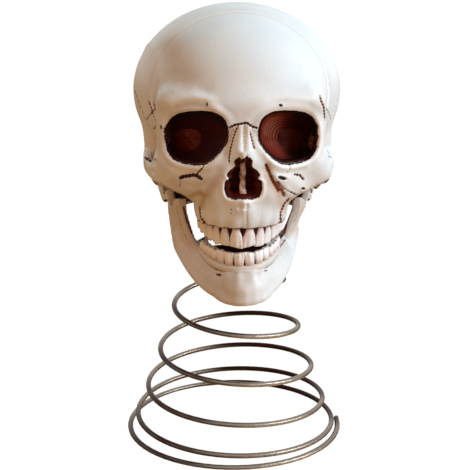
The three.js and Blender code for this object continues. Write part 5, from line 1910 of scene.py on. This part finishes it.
def plastic_finish(name, base, second):
    finish = Finish(name, IOR=1.46)
    grain = finish.cloud(900, 5)
    patches = finish.cloud(90, 3)
    turning = finish.cloud(1500, 2, finish.stretched(0.05, 0.05, 1))
    tint = finish.mix(base, second, (patches * 0.7 + grain * 0.3).between(0.35, 0.7))
    relief = finish.bump(turning * 0.6 + grain * 0.4, 0.0001, 0.5)
    return finish.wear(Base_Color=tint, Roughness=0.35 + 0.2 * grain, Normal=relief)


def steel_finish(name, base, second):
    finish = Finish(name, Metallic=1.0)
    grain = finish.cloud(1200, 4)
    patches = finish.cloud(200, 3)
    tint = finish.mix(base, second, (patches * 0.8 + grain * 0.2).between(0.4, 0.7))
    relief = finish.bump(grain * 0.5 + patches * 0.5, 0.00008, 0.5)
    return finish.wear(Base_Color=tint, Roughness=0.22 + 0.22 * grain, Normal=relief)


plug_plastic = plastic_finish("plug_plastic", colour(66, 58, 54), colour(46, 38, 36))
dull_steel = steel_finish("dull_steel", colour(170, 168, 164), colour(120, 112, 106))
print("two more finishes")

# %% Plug, washer and screw
neck = (0, 0, base_height)
plug_profile = [
    (0, 9.1), (8.0, 9.1), (8.5, 8.8), (8.7, 8.3), (8.7, 1.5), (9.0, 1.2), (14.6, 1.2), (15, 0.8),
    (15, -0.4), (14.6, -0.8), (9.25, -0.8), (8.95, -1.1), (8.95, -3.1), (8.65, -3.4), (2.6, -3.4),
    (2.3, -3.1), (2.3, 6.1), (0, 6.1),
]
washer_profile = [
    (2.3, -4.7), (2.5, -4.9), (10.7, -4.9), (11, -4.6), (11, -4.0), (10.7, -3.7), (2.5, -3.7),
    (2.3, -3.9), (2.3, -4.7),
]
screw_head = [
    (0, -7.4), (2.0, -7.36), (3.0, -7.0), (3.6, -6.4), (3.8, -5.7), (3.8, -5.3), (3.7, -5.2),
    (2.0, -5.2), (2.0, -5.0),
]
screw_thread = [(2.0 - 0.16 * (i % 2), -4.8 + 0.25 * i) for i in range(41)]
plug = turned("neck_plug_turned", plug_profile, 96, plug_plastic, neck)
washer = turned("washer_turned", washer_profile, 96, dull_steel, neck)
screw_profile = [*screw_head, *screw_thread, (1.7, 5.5), (0, 5.8)]
screw = turned("screw_turned", screw_profile, 48, dull_steel, neck)
for piece, node, slot in (
    (plug, "neck_plug", "plug"), (washer, "spring_washer", "steel"), (screw, "neck_screw", "steel"),
):
    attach(piece, "skull")
    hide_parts(node)
print("plug, washer and screw")

# %% [markdown]
# The screw's head has a cross slot. It is cut with a second mesh through a Boolean modifier, and
# the modifier's result is kept as the piece's own mesh.

# %% Cross slot
def cross_slot(piece, centre, half_long, half_wide, half_deep):
    cutter_mesh = bmesh.new()
    for long_x in (True, False):
        made = bmesh.ops.create_cube(cutter_mesh, size=2)["verts"]
        sizes = (half_long, half_wide) if long_x else (half_wide, half_long)
        bmesh.ops.scale(cutter_mesh, vec=Vector((*sizes, half_deep)) * MM, verts=made)
        bmesh.ops.translate(cutter_mesh, vec=Vector(centre) * MM, verts=made)
    cutter = mesh_object("slot_cutter", cutter_mesh)
    boolean = piece.modifiers.new("slot", "BOOLEAN")
    boolean.object = cutter
    boolean.solver = "EXACT"
    boolean.use_self = True
    settle(piece)
    bpy.data.objects.remove(cutter)


cross_slot(screw, (0, 0, base_height - 7.3), 2.1, 0.45, 1.1)
print("screw", len(screw.data.polygons), "faces")

# %% Hinge pins and dowels
pin_profile = [
    (0, 21.4), (0.8, 21.4), (1, 21.6), (1, 31.8), (1.95, 31.8), (2.1, 31.95), (2.1, 32.2),
    (1.95, 32.5), (1.6, 32.7), (1.0, 32.8), (0, 32.8),
]
hinge = (side_shift, hinge_back, base_height + hinge_height)
for side, node in ((1, "left_jaw_pin"), (-1, "right_jaw_pin")):
    pin = turned(node + "_turned", pin_profile, 40, dull_steel, hinge, axis=(side, 0, 0))
    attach(pin, "skull")
    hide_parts(node)
for node in ("seam_dowel_1", "seam_dowel_2", "seam_dowel_3"):
    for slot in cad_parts[node].material_slots:
        slot.material = plug_plastic
print("pins turned, dowels finished")
